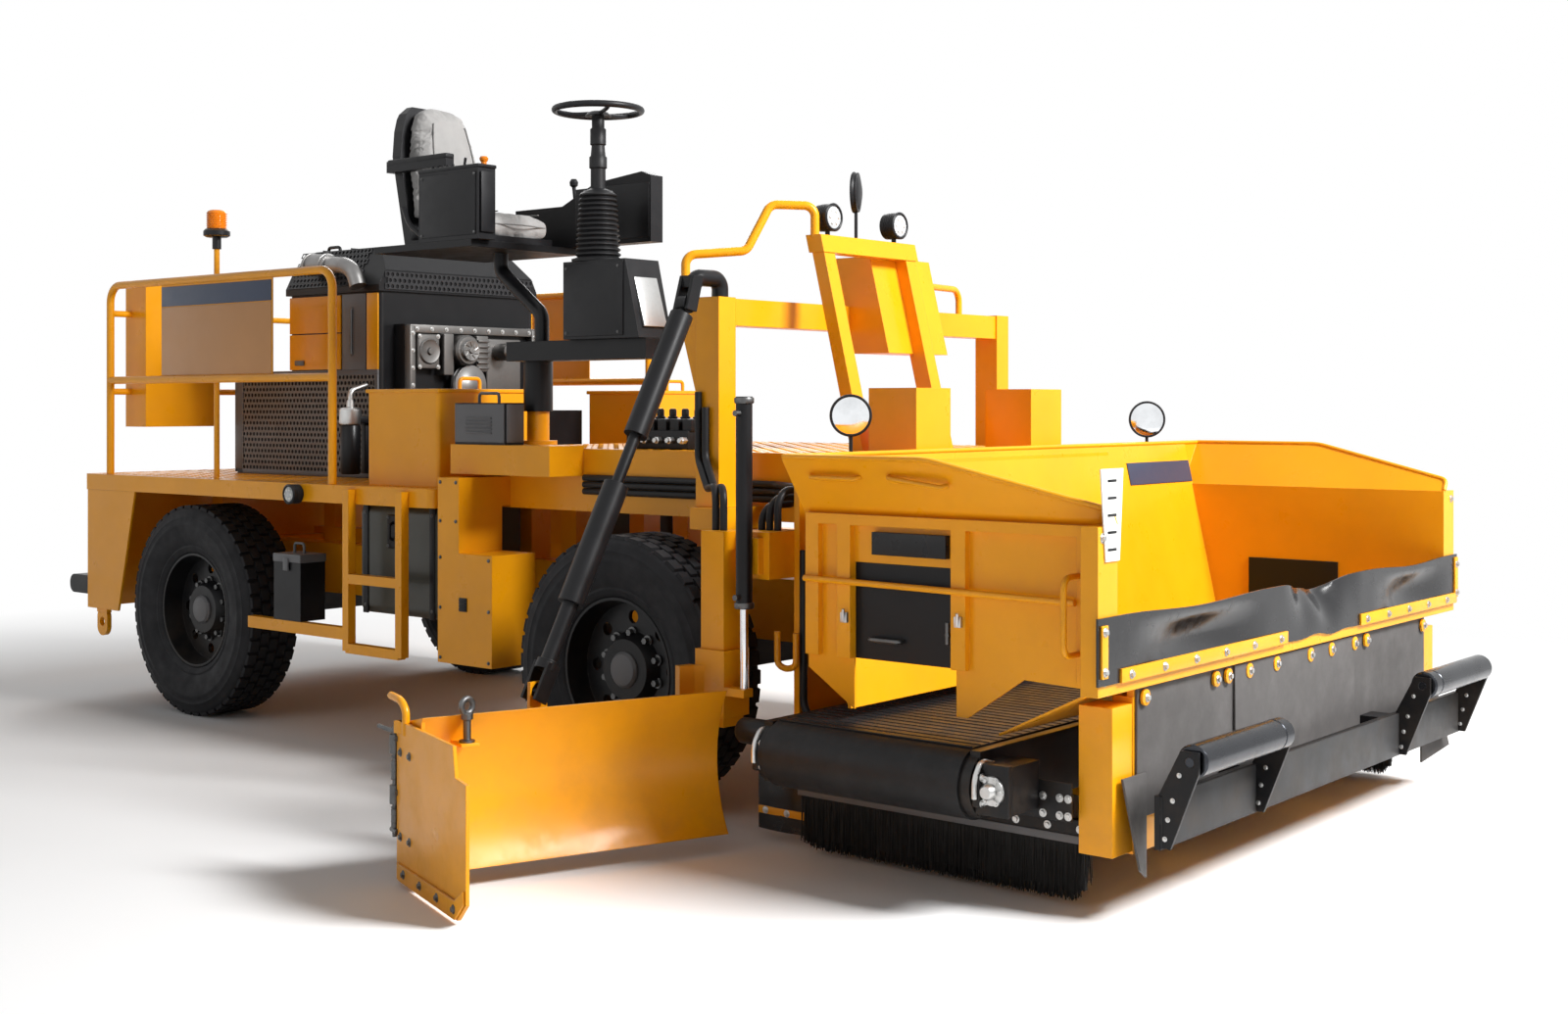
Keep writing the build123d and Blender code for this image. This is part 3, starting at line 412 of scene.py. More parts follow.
def plastic(name, colour, rough, grain=180.0):
    """Moulded plastic with a leathered grain."""
    tree, shader, where = new_finish(name, colour, rough, specular=0.25)
    normal = soft_edges(tree, 0.004)
    cells = add_node(tree, "ShaderNodeTexVoronoi", {"Scale": grain, "Vector": where})["Distance"]
    tone = patches(tree, where, 4.0, 5.0)
    feed(tree, shader, Base_Color=blend(tree, tone, shade(colour, 0.8), colour),
         Roughness=patches(tree, where, 20.0, 4.0, rough - 0.06, rough + 0.08))
    bump(tree, shader, cells, 0.1, 0.0008, normal)


def cloth(name, colour, threads=420.0):
    """Woven seat cloth with a soft sheen."""
    tree, shader, where = new_finish(name, colour, 0.85, specular=0.2)
    shader.inputs["Sheen Weight"].default_value = 0.25
    shader.inputs["Sheen Roughness"].default_value = 0.5
    across, along, through = [
        add_node(tree, "ShaderNodeTexWave", {"Scale": threads, "Vector": where},
                 bands_direction=way)["Fac"] for way in ("X", "Y", "Z")]
    weave = times(tree, math_node(tree, "ADD", across, along), through)
    base = blend(tree, patches(tree, where, 14.0, 5.0), shade(colour, 0.82), colour)
    woven = blend(tree, ramp(tree, weave, 0.2, 1.2), base, shade(colour, 0.72))
    feed(tree, shader, Base_Color=woven, Roughness=patches(tree, where, 60.0, 3.0, 0.75, 0.95))
    bump(tree, shader, weave, 0.25, 0.001)


# Colour, worn colour, roughness, coat, dust and shine of the paints
PAINTS = {
    "olive_paint": ((0.055, 0.055, 0.042), (0.2, 0.2, 0.18), 0.35, 0.15, 0.25),
    "stripe_navy": ((0.026, 0.042, 0.085), (0.1, 0.1, 0.1), 0.35, 0.2, 0.1),
    # The next finish is a darker tan copy of the yellow paint for the guard-rail panels: painted
    # shade, not a colour of their own
    "pale_panel": ((0.55, 0.27, 0.10), (0.30, 0.16, 0.05), 0.32, 0.08, 0.25),
    "trim_grey": ((0.115, 0.115, 0.12), (0.25, 0.25, 0.24), 0.42, 0.1, 0.25),
    "sieve_grey": ((0.17, 0.155, 0.14), (0.3, 0.3, 0.28), 0.42, 0.1, 0.25),
    "sieve_dark": ((0.016, 0.016, 0.018), (0.2, 0.2, 0.2), 0.4, 0.15, 0.25),
    "hub_grey": ((0.11, 0.11, 0.115), (0.3, 0.3, 0.3), 0.4, 0.1, 0.5),
}
# Colour, roughness, grain, dust and shine of the rubbers
RUBBERS = {
    "tyre_rubber": ((0.010, 0.010, 0.0115), 0.66, 300.0, 0.35),
    "belt_rubber": ((0.010, 0.010, 0.0105), 0.45, 200.0, 0.35),
    "flap_rubber": ((0.009, 0.009, 0.010), 0.2, 120.0, 0.1, 0.5),
    "hose_rubber": ((0.012, 0.012, 0.013), 0.45, 600.0, 0.15),
    "bristle_fibre": ((0.012, 0.011, 0.010), 0.6, 300.0, 0.2),
    "curtain_rubber": ((0.085, 0.08, 0.078), 0.6, 140.0, 0.3),
}
# Colour and roughness of the metals
METALS = {
    "chrome_plate": ((0.82, 0.82, 0.83), 0.1),
    "bright_steel": ((0.55, 0.55, 0.54), 0.32),
    "roller_steel": ((0.05, 0.053, 0.06), 0.22),
    "dark_steel": ((0.12, 0.12, 0.12), 0.42),
    "cast_iron": ((0.16, 0.155, 0.15), 0.45),
    "dull_steel": ((0.24, 0.235, 0.23), 0.36),
    "mirror_glass": ((0.9, 0.92, 0.94), 0.04),
}
# Colour, roughness and grain of the plastics
PLASTICS = {
    "black_plastic": ((0.009, 0.009, 0.0105), 0.4),
    "amber_plastic": ((0.95, 0.26, 0.01), 0.18, 90.0),
    "red_lens": ((0.5, 0.012, 0.01), 0.12, 80.0),
    "seat_grey": ((0.42, 0.41, 0.40), 0.62, 320.0),
    "seat_trim": ((0.20, 0.195, 0.19), 0.6, 320.0),
    "soft_black": ((0.011, 0.011, 0.012), 0.45, 240.0),
    "blank_plate": ((0.012, 0.012, 0.013), 0.3, 140.0),
    "white_plate": ((0.86, 0.86, 0.83), 0.35, 120.0),
    "lamp_glass": ((0.55, 0.57, 0.58), 0.08, 60.0),
    "lamp_led": ((0.92, 0.93, 0.88), 0.2, 60.0),
}


def make_finishes(colours):
    """Every finish of the machine."""
    paint("yellow_paint", tuple(colours.body), (0.30, 0.16, 0.05))
    paint("black_paint", tuple(colours.black), (0.16, 0.15, 0.14), 0.34, 0.0, 0.2, 0.22)
    paint("grey_paint", tuple(colours.grey), (0.12, 0.115, 0.11), 0.45, 0.0, 0.2, 0.25)
    for maker, table in ((paint, PAINTS), (rubber, RUBBERS), (bare_metal, METALS),
                         (plastic, PLASTICS)):
        for name, choices in table.items():
            maker(name, *choices)
    cloth("seat_cloth", (0.42, 0.41, 0.40))


NODE_FINISH = {
    "yellow_paint": ("frame_rails", "frame_members", "bulkhead", "front_frame", "rear_deck", "tail",
                     "deck_boxes", "guard_rails", "platform", "gantry", "hopper", "step_lockers",
                     "column", "carriage", "blade", "end_gate", "ladders"),
    "black_paint": ("rear_bumper", "axles", "engine", "enclosure", "hood", "gooseneck",
                    "lift_barrel", "brace_upper", "brace_middle", "brace_lower", "brush_bars",
                    "conveyor_frame", "station_arm", "rim_rear_right", "rim_rear_left",
                    "rim_front_right", "rim_front_left", "knuckle_right", "knuckle_left",
                    "tool_boxes", "push_beam", "gate_right", "gate_left"),
    "roller_steel": ("roller_right", "roller_left"),
    "olive_paint": ("side_tanks",),
    "chrome_plate": ("lift_rod",),
    "tyre_rubber": ("tyre_rear_right", "tyre_rear_left", "tyre_front_right", "tyre_front_left"),
    "belt_rubber": ("belt",),
    "flap_rubber": ("rubber_flaps",),
    "hose_rubber": ("hoses",),
    "bristle_fibre": ("bristles",),
    "amber_plastic": ("beacon_lens",),
    "seat_grey": ("seat_cushions",),
    "black_plastic": ("seat_shell", "station_panels", "steer_column", "steer_wheel", "work_lamps",
                      "mirrors"),
}


class WidenerColours(bpy.types.PropertyGroup):
    """Colours that a user would change."""
    body: FloatVectorProperty(name="Body paint", description="Enamel of frame, hopper and blade",
                              subtype="COLOR", default=(0.90, 0.37, 0.004))
    black: FloatVectorProperty(name="Black paint", description="Hood, rims and cylinders",
                               subtype="COLOR", default=(0.007, 0.007, 0.008))
    grey: FloatVectorProperty(name="Grey paint", description="Face of the push bar",
                              subtype="COLOR", default=(0.034, 0.034, 0.035))


class WidenerSizes(bpy.types.PropertyGroup):
    """Sizes of what repeats."""
    tread_blocks: IntProperty(
        name="Tread blocks", description="Blocks round each row of a tyre", default=46, min=8)
    sieve_pitch: FloatProperty(
        name="Hole pitch", description="Step between the holes of the side sheets",
        subtype="DISTANCE", unit="LENGTH", default=0.03, min=0.01)
    bristle_count: IntProperty(
        name="Bristles", description="Fibres in each side brush", default=1500, min=50)
    bristle_splay: FloatProperty(
        name="Splay", description="Largest lean of a fibre", subtype="ANGLE", unit="ROTATION",
        default=0.05, min=0.0)
    plate_step: FloatProperty(
        name="Plate step", description="Step between the bars of the tread plate",
        subtype="DISTANCE", unit="LENGTH", default=0.05, min=0.02)
    boot_ribs: IntProperty(
        name="Boot ribs", description="Folds of the steering column's boot", default=13, min=3)


class WidenerStage(bpy.types.PropertyGroup):
    """Camera of the stage."""
    lens: FloatProperty(name="Lens", description="Focal length on a 36 mm wide sensor",
                        default=41.5, min=10.0)
    turn: FloatProperty(name="Turn", description="Camera's turn about the upright",
                        subtype="ANGLE", unit="ROTATION", default=math.radians(39.56))
    drop: FloatProperty(name="Drop", description="Shift of the frame below the horizon",
                        default=-0.0657)


class WIDENER_OT_finishes(bpy.types.Operator):
    """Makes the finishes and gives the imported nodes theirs"""
    bl_idname = "widener.finishes"
    bl_label = "Finishes"

    def execute(self, context):
        make_finishes(context.scene.widener_colours)
        for finish, nodes in NODE_FINISH.items():
            for node in nodes:
                shown = frame["nodes"][node]
                shown.data.materials.clear()
                shown.data.materials.append(FINISH[finish])
        return {"FINISHED"}


# Node trees for what repeats

TREES = {}


class Tree:
    """Geometry node tree whose sizes and finish are named inputs."""

    def __init__(self, name, sizes):
        self.group = bpy.data.node_groups.new(name, "GeometryNodeTree")
        face = self.group.interface
        face.new_socket("Geometry", in_out="INPUT", socket_type="NodeSocketGeometry")
        kinds = {int: "NodeSocketInt", float: "NodeSocketFloat"}
        self.inputs = {}
        for label, value in {**sizes, "Finish": None}.items():
            kind = kinds.get(type(value), "NodeSocketMaterial")
            socket = face.new_socket(label, in_out="INPUT", socket_type=kind)
            if value is not None:
                socket.default_value = value
            self.inputs[label] = socket.identifier
        face.new_socket("Geometry", in_out="OUTPUT", socket_type="NodeSocketGeometry")
        self.size = self.group.nodes.new("NodeGroupInput").outputs
        self.sink = self.group.nodes.new("NodeGroupOutput")

    def add(self, kind, inputs=None, **settings):
        """Outputs of a new node, as in add_node."""
        return add_node(self.group, kind, inputs, **settings)

    def sum(self, kind, one, two):
        """Arithmetic on two sizes or numbers."""
        return math_node(self.group, kind, one, two)

    def times(self, one, two):
        """Product of two sizes or numbers."""
        return times(self.group, one, two)

    def vector(self, x=0.0, y=0.0, z=0.0):
        """Vector from sizes or numbers."""
        return self.add("ShaderNodeCombineXYZ", {"X": x, "Y": y, "Z": z})[0]

    def layer(self, name):
        """Vector kept on the points."""
        return self.add("GeometryNodeInputNamedAttribute", {"Name": name},
                        data_type="FLOAT_VECTOR")["Attribute"]

    def chance(self, low, high):
        """Random vector between two, by the tree's seed."""
        return self.add("FunctionNodeRandomValue",
                        {"Min": low, "Max": high, "Seed": self.size["Seed"]},
                        data_type="FLOAT_VECTOR")[0]

    def axes(self, first, second, second_axis):
        """Turn that lays Z on one vector and another axis near a second one."""
        return self.add("FunctionNodeAxesToRotation",
                        {"Primary Axis": first, "Secondary Axis": second},
                        primary_axis="Z", secondary_axis=second_axis)[0]

    def euler(self, angles):
        """Turn by three angles."""
        return self.add("FunctionNodeEulerToRotation", {"Euler": angles})[0]

    def cone(self, sides, top, bottom, depth):
        """Upright cone between two radii."""
        return self.add("GeometryNodeMeshCone", {"Vertices": sides, "Radius Top": top,
                                                 "Radius Bottom": bottom, "Depth": depth})["Mesh"]

    def join(self, *parts):
        """One geometry from several."""
        return self.add("GeometryNodeJoinGeometry", {"Geometry": list(parts)})[0]

    def put(self, instance, turn, scale=(1.0, 1.0, 1.0), points=None):
        """The same shape at each point, by default at the points that come in."""
        return self.add("GeometryNodeInstanceOnPoints",
                        {"Points": points or self.size["Geometry"], "Instance": instance,
                         "Rotation": turn, "Scale": scale})[0]

    def close(self, geometry):
        """Ends the tree in a plain mesh with its finish."""
        real = self.add("GeometryNodeRealizeInstances", {"Geometry": geometry})[0]
        shown = self.add("GeometryNodeSetMaterial",
                         {"Geometry": real, "Material": self.size["Finish"]})[0]
        self.group.links.new(shown, self.sink.inputs["Geometry"])
        return self


def grown(name, make, points, sizes, finish, **layers):
    """Runs a tree on row-frame points and returns the plain mesh object that it makes."""
    if make.__name__ not in TREES:
        TREES[make.__name__] = make()
    tree = TREES[make.__name__]
    seeds = bpy.data.meshes.new(name + "_points")
    seeds.from_pydata([tuple(point) for point in points], [], [])
    for label, vectors in layers.items():
        layer = seeds.attributes.new(label, "FLOAT_VECTOR", "POINT")
        layer.data.foreach_set("vector", [value for vector in vectors for value in vector])
    piece = bpy.data.objects.new(name, seeds)
    bpy.context.scene.collection.objects.link(piece)
    modifier = piece.modifiers.new(name, "NODES")
    modifier.node_group = tree.group
    for label, value in {**sizes, "Finish": FINISH[finish]}.items():
        modifier[tree.inputs[label]] = value
    bake_modifiers(piece)
    piece.data.name = name
    return piece


def bake_modifiers(piece):
    """Puts what the modifiers make into the mesh."""
    view = bpy.context.evaluated_depsgraph_get()
    made = bpy.data.meshes.new_from_object(piece.evaluated_get(view))
    piece.modifiers.clear()
    old, piece.data = piece.data, made
    bpy.data.meshes.remove(old)


def bolt_tree():
    """Head on a washer at each point, square to its facing."""
    tree = Tree("bolt_heads", {"Radius": 0.009, "Height": 0.008, "Sides": 6})
    radius, height = tree.size["Radius"], tree.size["Height"]
    washer = tree.add("GeometryNodeMeshCylinder",
                      {"Vertices": 12, "Radius": tree.times(radius, 1.5),
                       "Depth": tree.times(height, 0.4)})["Mesh"]
    head = tree.cone(tree.size["Sides"], tree.times(radius, 0.9), radius, height)
    turn = tree.add("FunctionNodeAlignRotationToVector", {"Vector": tree.layer("facing")},
                    axis="Z")[0]
    return tree.close(tree.put(tree.join(washer, head), turn))


def sieve_tree():
    """Square tile with a round hole at each point, its face square to facing."""
    tree = Tree("sieve_tiles", {"Pitch": 0.03, "Hole": 0.0105, "Sheet": 0.002})
    pitch = tree.size["Pitch"]
    edge = tree.add("GeometryNodeCurvePrimitiveQuadrilateral",
                    {"Width": pitch, "Height": pitch})[0]
    ring = tree.add("GeometryNodeCurvePrimitiveCircle",
                    {"Resolution": 10, "Radius": tree.size["Hole"]})[0]
    flat = tree.add("GeometryNodeFillCurve", {"Curve": tree.join(edge, ring)})[0]
    wall = tree.add("GeometryNodeExtrudeMesh",
                    {"Mesh": flat, "Offset Scale": tree.size["Sheet"], "Individual": False},
                    mode="FACES")[0]
    under = tree.add("GeometryNodeFlipFaces", {"Mesh": flat})[0]
    turn = tree.axes(tree.layer("facing"), tree.layer("along"), "X")
    return tree.close(tree.put(tree.join(wall, under), turn))


def tread_tree():
    """Five rows of tapered blocks round an axle along Y through the origin."""
    tree = Tree("tread_blocks", {"Blocks": 46, "Radius": 0.5375, "Depth": 0.016, "Length": 0.058,
                                 "Width": 0.045, "Row gap": 0.054})
    size = tree.size
    foot = tree.sum("SUBTRACT", size["Radius"], size["Depth"])
    square = tree.add("GeometryNodeTransform", {"Geometry": tree.cone(4, 0.64, 0.7071, 1.0),
                                                "Rotation": (0, 0, math.pi / 4)})[0]
    half_step = tree.sum("DIVIDE", math.pi, size["Blocks"])
    spot = tree.add("GeometryNodeInputPosition")[0]
    outward = tree.add("ShaderNodeVectorMath", {0: spot, 1: (1, 0, 1)}, operation="MULTIPLY")[0]
    turn = tree.axes(outward, LEFT, "Y")
    rings = []
    for row in range(-2, 3):
        ring = tree.add("GeometryNodeMeshCircle", {"Vertices": size["Blocks"], "Radius": foot})[0]
        lean = tree.times(half_step, float(row % 2))
        stood = tree.add("GeometryNodeTransform", {
            "Geometry": ring, "Rotation": tree.vector(math.pi / 2, lean),
            "Translation": tree.vector(y=tree.times(size["Row gap"], float(row)))})[0]
        across = tree.times(size["Width"], 1.18 if abs(row) == 2 else 1.0)
        scale = tree.vector(size["Length"], across, size["Depth"])
        rings.append(tree.put(square, turn, scale, stood))
    return tree.close(tree.join(*rings))


def bristle_tree():
    """Tapered fibres hanging from each point, splayed and cut unevenly."""
    tree = Tree("bristles", {"Length": 0.196, "Radius": 0.0022, "Splay": 0.06, "Seed": 7})
    radius, splay = tree.size["Radius"], tree.size["Splay"]
    fibre = tree.cone(4, tree.times(radius, 0.6), radius, tree.size["Length"])
    low = tree.times(splay, -1.0)
    lean = tree.chance(tree.vector(tree.sum("ADD", math.pi, low), low),
                       tree.vector(tree.sum("ADD", math.pi, splay), splay, 3.0))
    cut = tree.chance((1.0, 1.0, 0.93), (1.0, 1.0, 1.0))
    return tree.close(tree.put(fibre, tree.euler(lean), cut))


def plate_tree():
    """Raised lozenge of a tread plate at each point, turned by its spin."""
    tree = Tree("tread_plate", {"Length": 0.03, "Width": 0.009, "Height": 0.0022})
    size = tree.size
    scale = tree.vector(tree.times(size["Length"], 0.5), tree.times(size["Width"], 0.5),
                        size["Height"])
    bar = tree.cone(4, 0.6, 1.0, 1.0)
    return tree.close(tree.put(bar, tree.euler(tree.layer("spin")), scale))


def bolts(name, spots, radius=11.0, height=9.0, sides=6, finish="bright_steel", body="chassis"):
    """Bolt heads at millimetre points, each with the way that it faces."""
    piece = grown(name, bolt_tree, [at(*spot[:3]) for spot in spots],
                  {"Radius": radius / 1000, "Height": height / 1000, "Sides": sides}, finish,
                  facing=[Vector(spot[3]).normalized() for spot in spots])
    return settle(piece, finish, body, 40.0)


SIEVE_HOLE, SIEVE_SHEET = 0.0105, 0.002  # metres


def sieve(name, corner, wide, tall, finish, pitch=30.0):
    """Perforated sheet from a corner along two sides, each row set half a step over."""
    across, up = Vector(wide), Vector(tall)
    columns, lines = int(across.length / pitch), int(up.length / pitch)
    step, rise = across / columns, up / lines
    facing = across.cross(up).normalized()
    spots = []
    for row in range(lines):
        for column in range(columns - row % 2):
            over = column + 0.5 + 0.5 * (row % 2)
            spots.append(at(*(Vector(corner) + step * over + rise * (row + 0.5))))
    piece = grown(name, sieve_tree, spots,
                  {"Pitch": pitch / 1000, "Hole": SIEVE_HOLE, "Sheet": SIEVE_SHEET}, finish,
                  facing=[facing] * len(spots), along=[step.normalized()] * len(spots))
    return settle(piece, finish, sharp=30.0)


WHEELS = {"rear_right": (-3167, -934), "rear_left": (-3167, 934),
          "front_right": (0, -1066), "front_left": (0, 1066)}
AXLE_Z = 538.0
NUTS, NUT_CIRCLE = 10, 145.0
# Radius and distance from the middle of a tyre's section
TYRE_HALF = ((290, 0), (290, 108), (300, 122), (316, 127), (322, 131), (332, 129), (352, 141),
             (392, 152), (432, 156), (438, 158.5), (446, 156), (470, 152), (476, 154), (486, 149),
             (505, 143), (518, 139), (524, 132), (524, 0))


class WIDENER_OT_tyres(bpy.types.Operator):
    """Makes the tyres with their side walls and tread blocks"""
    bl_idname = "widener.tyres"
    bl_label = "Tyres"

    def execute(self, context):
        blocks = context.scene.widener_sizes.tread_blocks
        profile = [(r, -a) for r, a in reversed(TYRE_HALF)] + list(TYRE_HALF[1:])
        for name, (x, y) in WHEELS.items():
            tyre, body = "tyre_" + name, "wheel_" + name
            walls = Shape().lathe((x, y, AXLE_Z), LEFT, profile + [profile[0]], 96)
            walls.done(tyre + "_side_walls", "tyre_rubber", body, 40.0, (tyre,))
            tread = grown(tyre + "_tread", tread_tree, [(0, 0, 0)], {"Blocks": blocks},
                          "tyre_rubber")
            tread.data.transform(Matrix.Translation(at(x, y, AXLE_Z)))
            settle(tread, "tyre_rubber", body, 30.0)
        return {"FINISHED"}


class WIDENER_OT_hubs(bpy.types.Operator):
    """Makes the hub caps, wheel nuts and rim rings"""
    bl_idname = "widener.hubs"
    bl_label = "Hubs"

    def execute(self, context):
        for name, (x, y) in WHEELS.items():
            out = 1 if y > 0 else -1
            body = "wheel_" + name
            nuts = []
            for i in range(NUTS):
                along, rise = polar(360 / NUTS * (i + 0.5), NUT_CIRCLE)
                nuts.append((x + along, y + out * 24, AXLE_Z + rise, (0, out, 0)))
            bolts("wheel_nuts_" + name, nuts, 15.0, 26.0, finish="dark_steel", body=body)
            cap = Shape().lathe((x, y, AXLE_Z), (0, out, 0), [
                (0, 92), (40, 91), (62, 86), (72, 76), (74, 66), (96, 64), (99, 58), (99, 30),
                (0, 30)])
            cap.done("hub_cap_" + name, "hub_grey", body)
            ring = Shape().torus((x, y + out * 106, AXLE_Z), LEFT, 287, 8, 72, 10)
            ring.rod((x + 225, y + out * 20, AXLE_Z + 40),
                     (x + 248, y + out * 74, AXLE_Z + 44), 5, 10)
            ring.done("rim_lip_" + name, "black_paint", body)
        return {"FINISHED"}


ENGINE_FACE = -2255.0
FAN_Y, FAN_Z = -95, 1870
FAN_BLADES, FAN_LEAN = 9, math.degrees(0.35)
CRANK_Y, CRANK_Z = -60, 1690
BELT_STEPS = 12
EXHAUST_END, EXHAUST_WAY = (-2700, -560, 2312), (-1, 0.1, 0.06)


class WIDENER_OT_engine_bay(bpy.types.Operator):
    """Makes the engine's front, the doors and the perforated sheets round it"""
    bl_idname = "widener.engine_bay"
    bl_label = "Engine bay"

    def execute(self, context):
        doors, greys, blacks, latches = Shape(), Shape(), Shape(), Shape()
        for shape, x, y, z, bevel in (
                (doors, (-3092, -2652), (519, 528), (1772, 1958), 3),
                (doors, (-3092, -2652), (519, 528), (1963, 2155), 3),
                (doors, (-2440, -2348), (519, 525), (1768, 2158), 2),
                (greys, (-2640, -2446), (519, 527), (1768, 2158), 3),
                (greys, (-3598, -3520), (519, 526), (1240, 1755), 3),
                (greys, (-3520, -2345), (519, 530), (1742, 1768), 2),
                (greys, (-3520, -2345), (519, 530), (1216, 1240), 2),
                (greys, (-2372, -2345), (519, 530), (1240, 1742), 2),
                (blacks, (-3519, -2373), (519, 521), (1241, 1741), 0),
                (latches, (-3040, -2960), (527, 534), (1795, 1822), 3)):
            shape.pair(x, y, z, bevel)
        pitch = context.scene.widener_sizes.sieve_pitch * 1000
        for side, name in HANDS:
            latches.rod((-2560, side * 530, 1850), (-2560, side * 530, 2080), 9, 12)
            for z in (1850, 2080):
                latches.rod((-2560, side * 522, z), (-2560, side * 531, z), 12, 10)
            low, high = (-3524, -3095) if side < 0 else (-2368, -2500)
            sieve("side_sieve_" + name, (low, side * 526, 1236), (-side * 1156, 0, 0),
                  (0, 0, 510), "sieve_grey", pitch)
            sieve("hood_sieve_" + name, (high, side * 538, 2200), (-side * 595, 0, 0),
                  (0, -side * 100, 197), "sieve_dark")
        doors.done("engine_doors", "yellow_paint")
        greys.done("enclosure_trim", "trim_grey")
        blacks.done("sieve_backing", "black_paint")
        latches.done("door_latches", "dark_steel")
        sieve("front_sieve", (-2322, -500, 2176), (0, 1000, 0), (0, 0, 90), "sieve_dark")
        self.castings(ENGINE_FACE)
        self.pulleys(ENGINE_FACE)
        self.fasteners(ENGINE_FACE)
        self.pipes()
        return {"FINISHED"}

    def castings(self, x):
        """Blocks and flanges of the engine's front, seen past the deck boxes."""
        cast = Shape()
        for y, z, out, bevel, steps in (
                ((-425, 425), (1955, 1998), 40, 6, 2), ((-430, -395), (1570, 1990), 46, 5, 2),
                ((395, 430), (1570, 1990), 46, 5, 2), ((-390, -250), (1770, 1950), 60, 14, 3),
                ((-235, -170), (1740, 1955), 75, 8, 3), ((-10, 70), (1760, 1950), 66, 8, 3),
                ((90, 330), (1640, 1940), 30, 12, 3)):
            cast.block((x - 2, x + out), y, z, bevel, steps)
        cast.lathe((x + 58, -320, 1862), AHEAD, [
            (0, 0), (62, 0), (66, 6), (60, 12), (48, 8), (20, 8), (16, 20), (0, 20)])
        cast.lathe((x + 5, FAN_Y, FAN_Z), AHEAD, [
            (0, 0), (74, 0), (80, 12), (80, 88), (70, 100), (0, 104)], 40)
        for z in range(1775, 1916, 28):
            cast.block((x + 60, x + 78), (-8, 68), (z, z + 12), 3)
        cast.done("engine_castings", "cast_iron")

    def pulleys(self, x):
        """Fan hub, alternator and crank pulley with the belt round two of them."""
        turned = Shape().lathe((x + 104, FAN_Y, FAN_Z), AHEAD, [
            (0, 26), (14, 26), (18, 18), (40, 20), (52, 22), (55, 12), (50, 6), (55, 0), (50, -8),
            (0, -8)], 40)
        for k in range(FAN_BLADES):
            turn = 360 / FAN_BLADES * k
            (y, z), (far_y, far_z) = polar(turn, 22), polar(turn + FAN_LEAN, 46)
            turned.rod((x + 122, FAN_Y + y, FAN_Z + z), (x + 124, FAN_Y + far_y, FAN_Z + far_z),
                       4, 8)
        turned.lathe((x + 8, 170, 1868), AHEAD, [
            (0, 0), (44, 0), (46, 8), (46, 120), (34, 132), (30, 150), (0, 152)], 36)
        turned.lathe((x + 8, CRANK_Y, CRANK_Z), AHEAD, [
            (0, 0), (60, 0), (60, 30), (104, 34), (108, 44), (98, 52), (108, 60), (104, 70),
            (60, 72), (40, 84), (0, 86)])
        turned.done("engine_pulleys", "dull_steel")
        ring = []
        for y, z, radius, start, stop in ((FAN_Y, FAN_Z, 57, -40, 178),
                                          (CRANK_Y, CRANK_Z, 106, 178, 320)):
            for k in range(BELT_STEPS + 1):
                across, rise = polar(start + (stop - start) * k / BELT_STEPS, radius)
                ring.append((x + 50, y + across, z + rise))
        loop = Shape()
        for one, two in zip(ring, ring[1:] + ring[:1]):
            loop.rod(one, two, 8, 8)
        loop.done("fan_belt", "belt_rubber", sharp=60.0)

    def fasteners(self, x):
        """Bolts of the castings."""
        heads = rows([x + 40], range(-380, 400, 95), [1976], AHEAD)
        heads += rows([x + 46], (-412, 412), range(1600, 1960, 88), AHEAD)
        heads += rows([x + 60], (-380, -262), (1782, 1938), AHEAD)
        bolts("engine_bolts", heads, 8, 7)

    def pipes(self):
        """Exhaust and filter of the engine."""
        tube = Shape().pipe((EXHAUST_END, (-2540, -578, 2300), (-2470, -578, 2262),
                             (-2440, -578, 2190)), 42, 20, 90, 8)
        tube.lathe(EXHAUST_END, EXHAUST_WAY, [
            (0, -6), (52, -6), (55, 4), (55, 190), (48, 204), (0, 206)], 32)
        for along in (20, 170):
            spot = Vector(EXHAUST_END) + along * Vector(EXHAUST_WAY)
            tube.torus(spot, EXHAUST_WAY, 56, 4)
        tube.done("exhaust", "dull_steel")
        clean = Shape().lathe((-2420, -640, 1240), UP, [
            (0, 0), (46, 0), (50, 8), (50, 240), (44, 250), (0, 252)], 32)
        clean.block((-2470, -2370), (-640, -528), (1496, 1530), 6)
        clean.block((-2440, -2400), (-560, -524), (1240, 1500), 4)
        clean.done("filter_body", "black_paint")
        head = Shape().lathe((-2420, -640, 1490), UP, [
            (0, 0), (52, 0), (56, 10), (56, 74), (46, 84), (20, 88), (18, 122), (0, 124)], 32)
        head.pipe(((-2420, -640, 1600), (-2420, -640, 1660), (-2420, -540, 1690)), 13, 12)
        head.done("filter_head", "bright_steel")


BEACON_X, BEACON_Y = -3013, -1020
TANK_BANDS = (-1808, -1330)


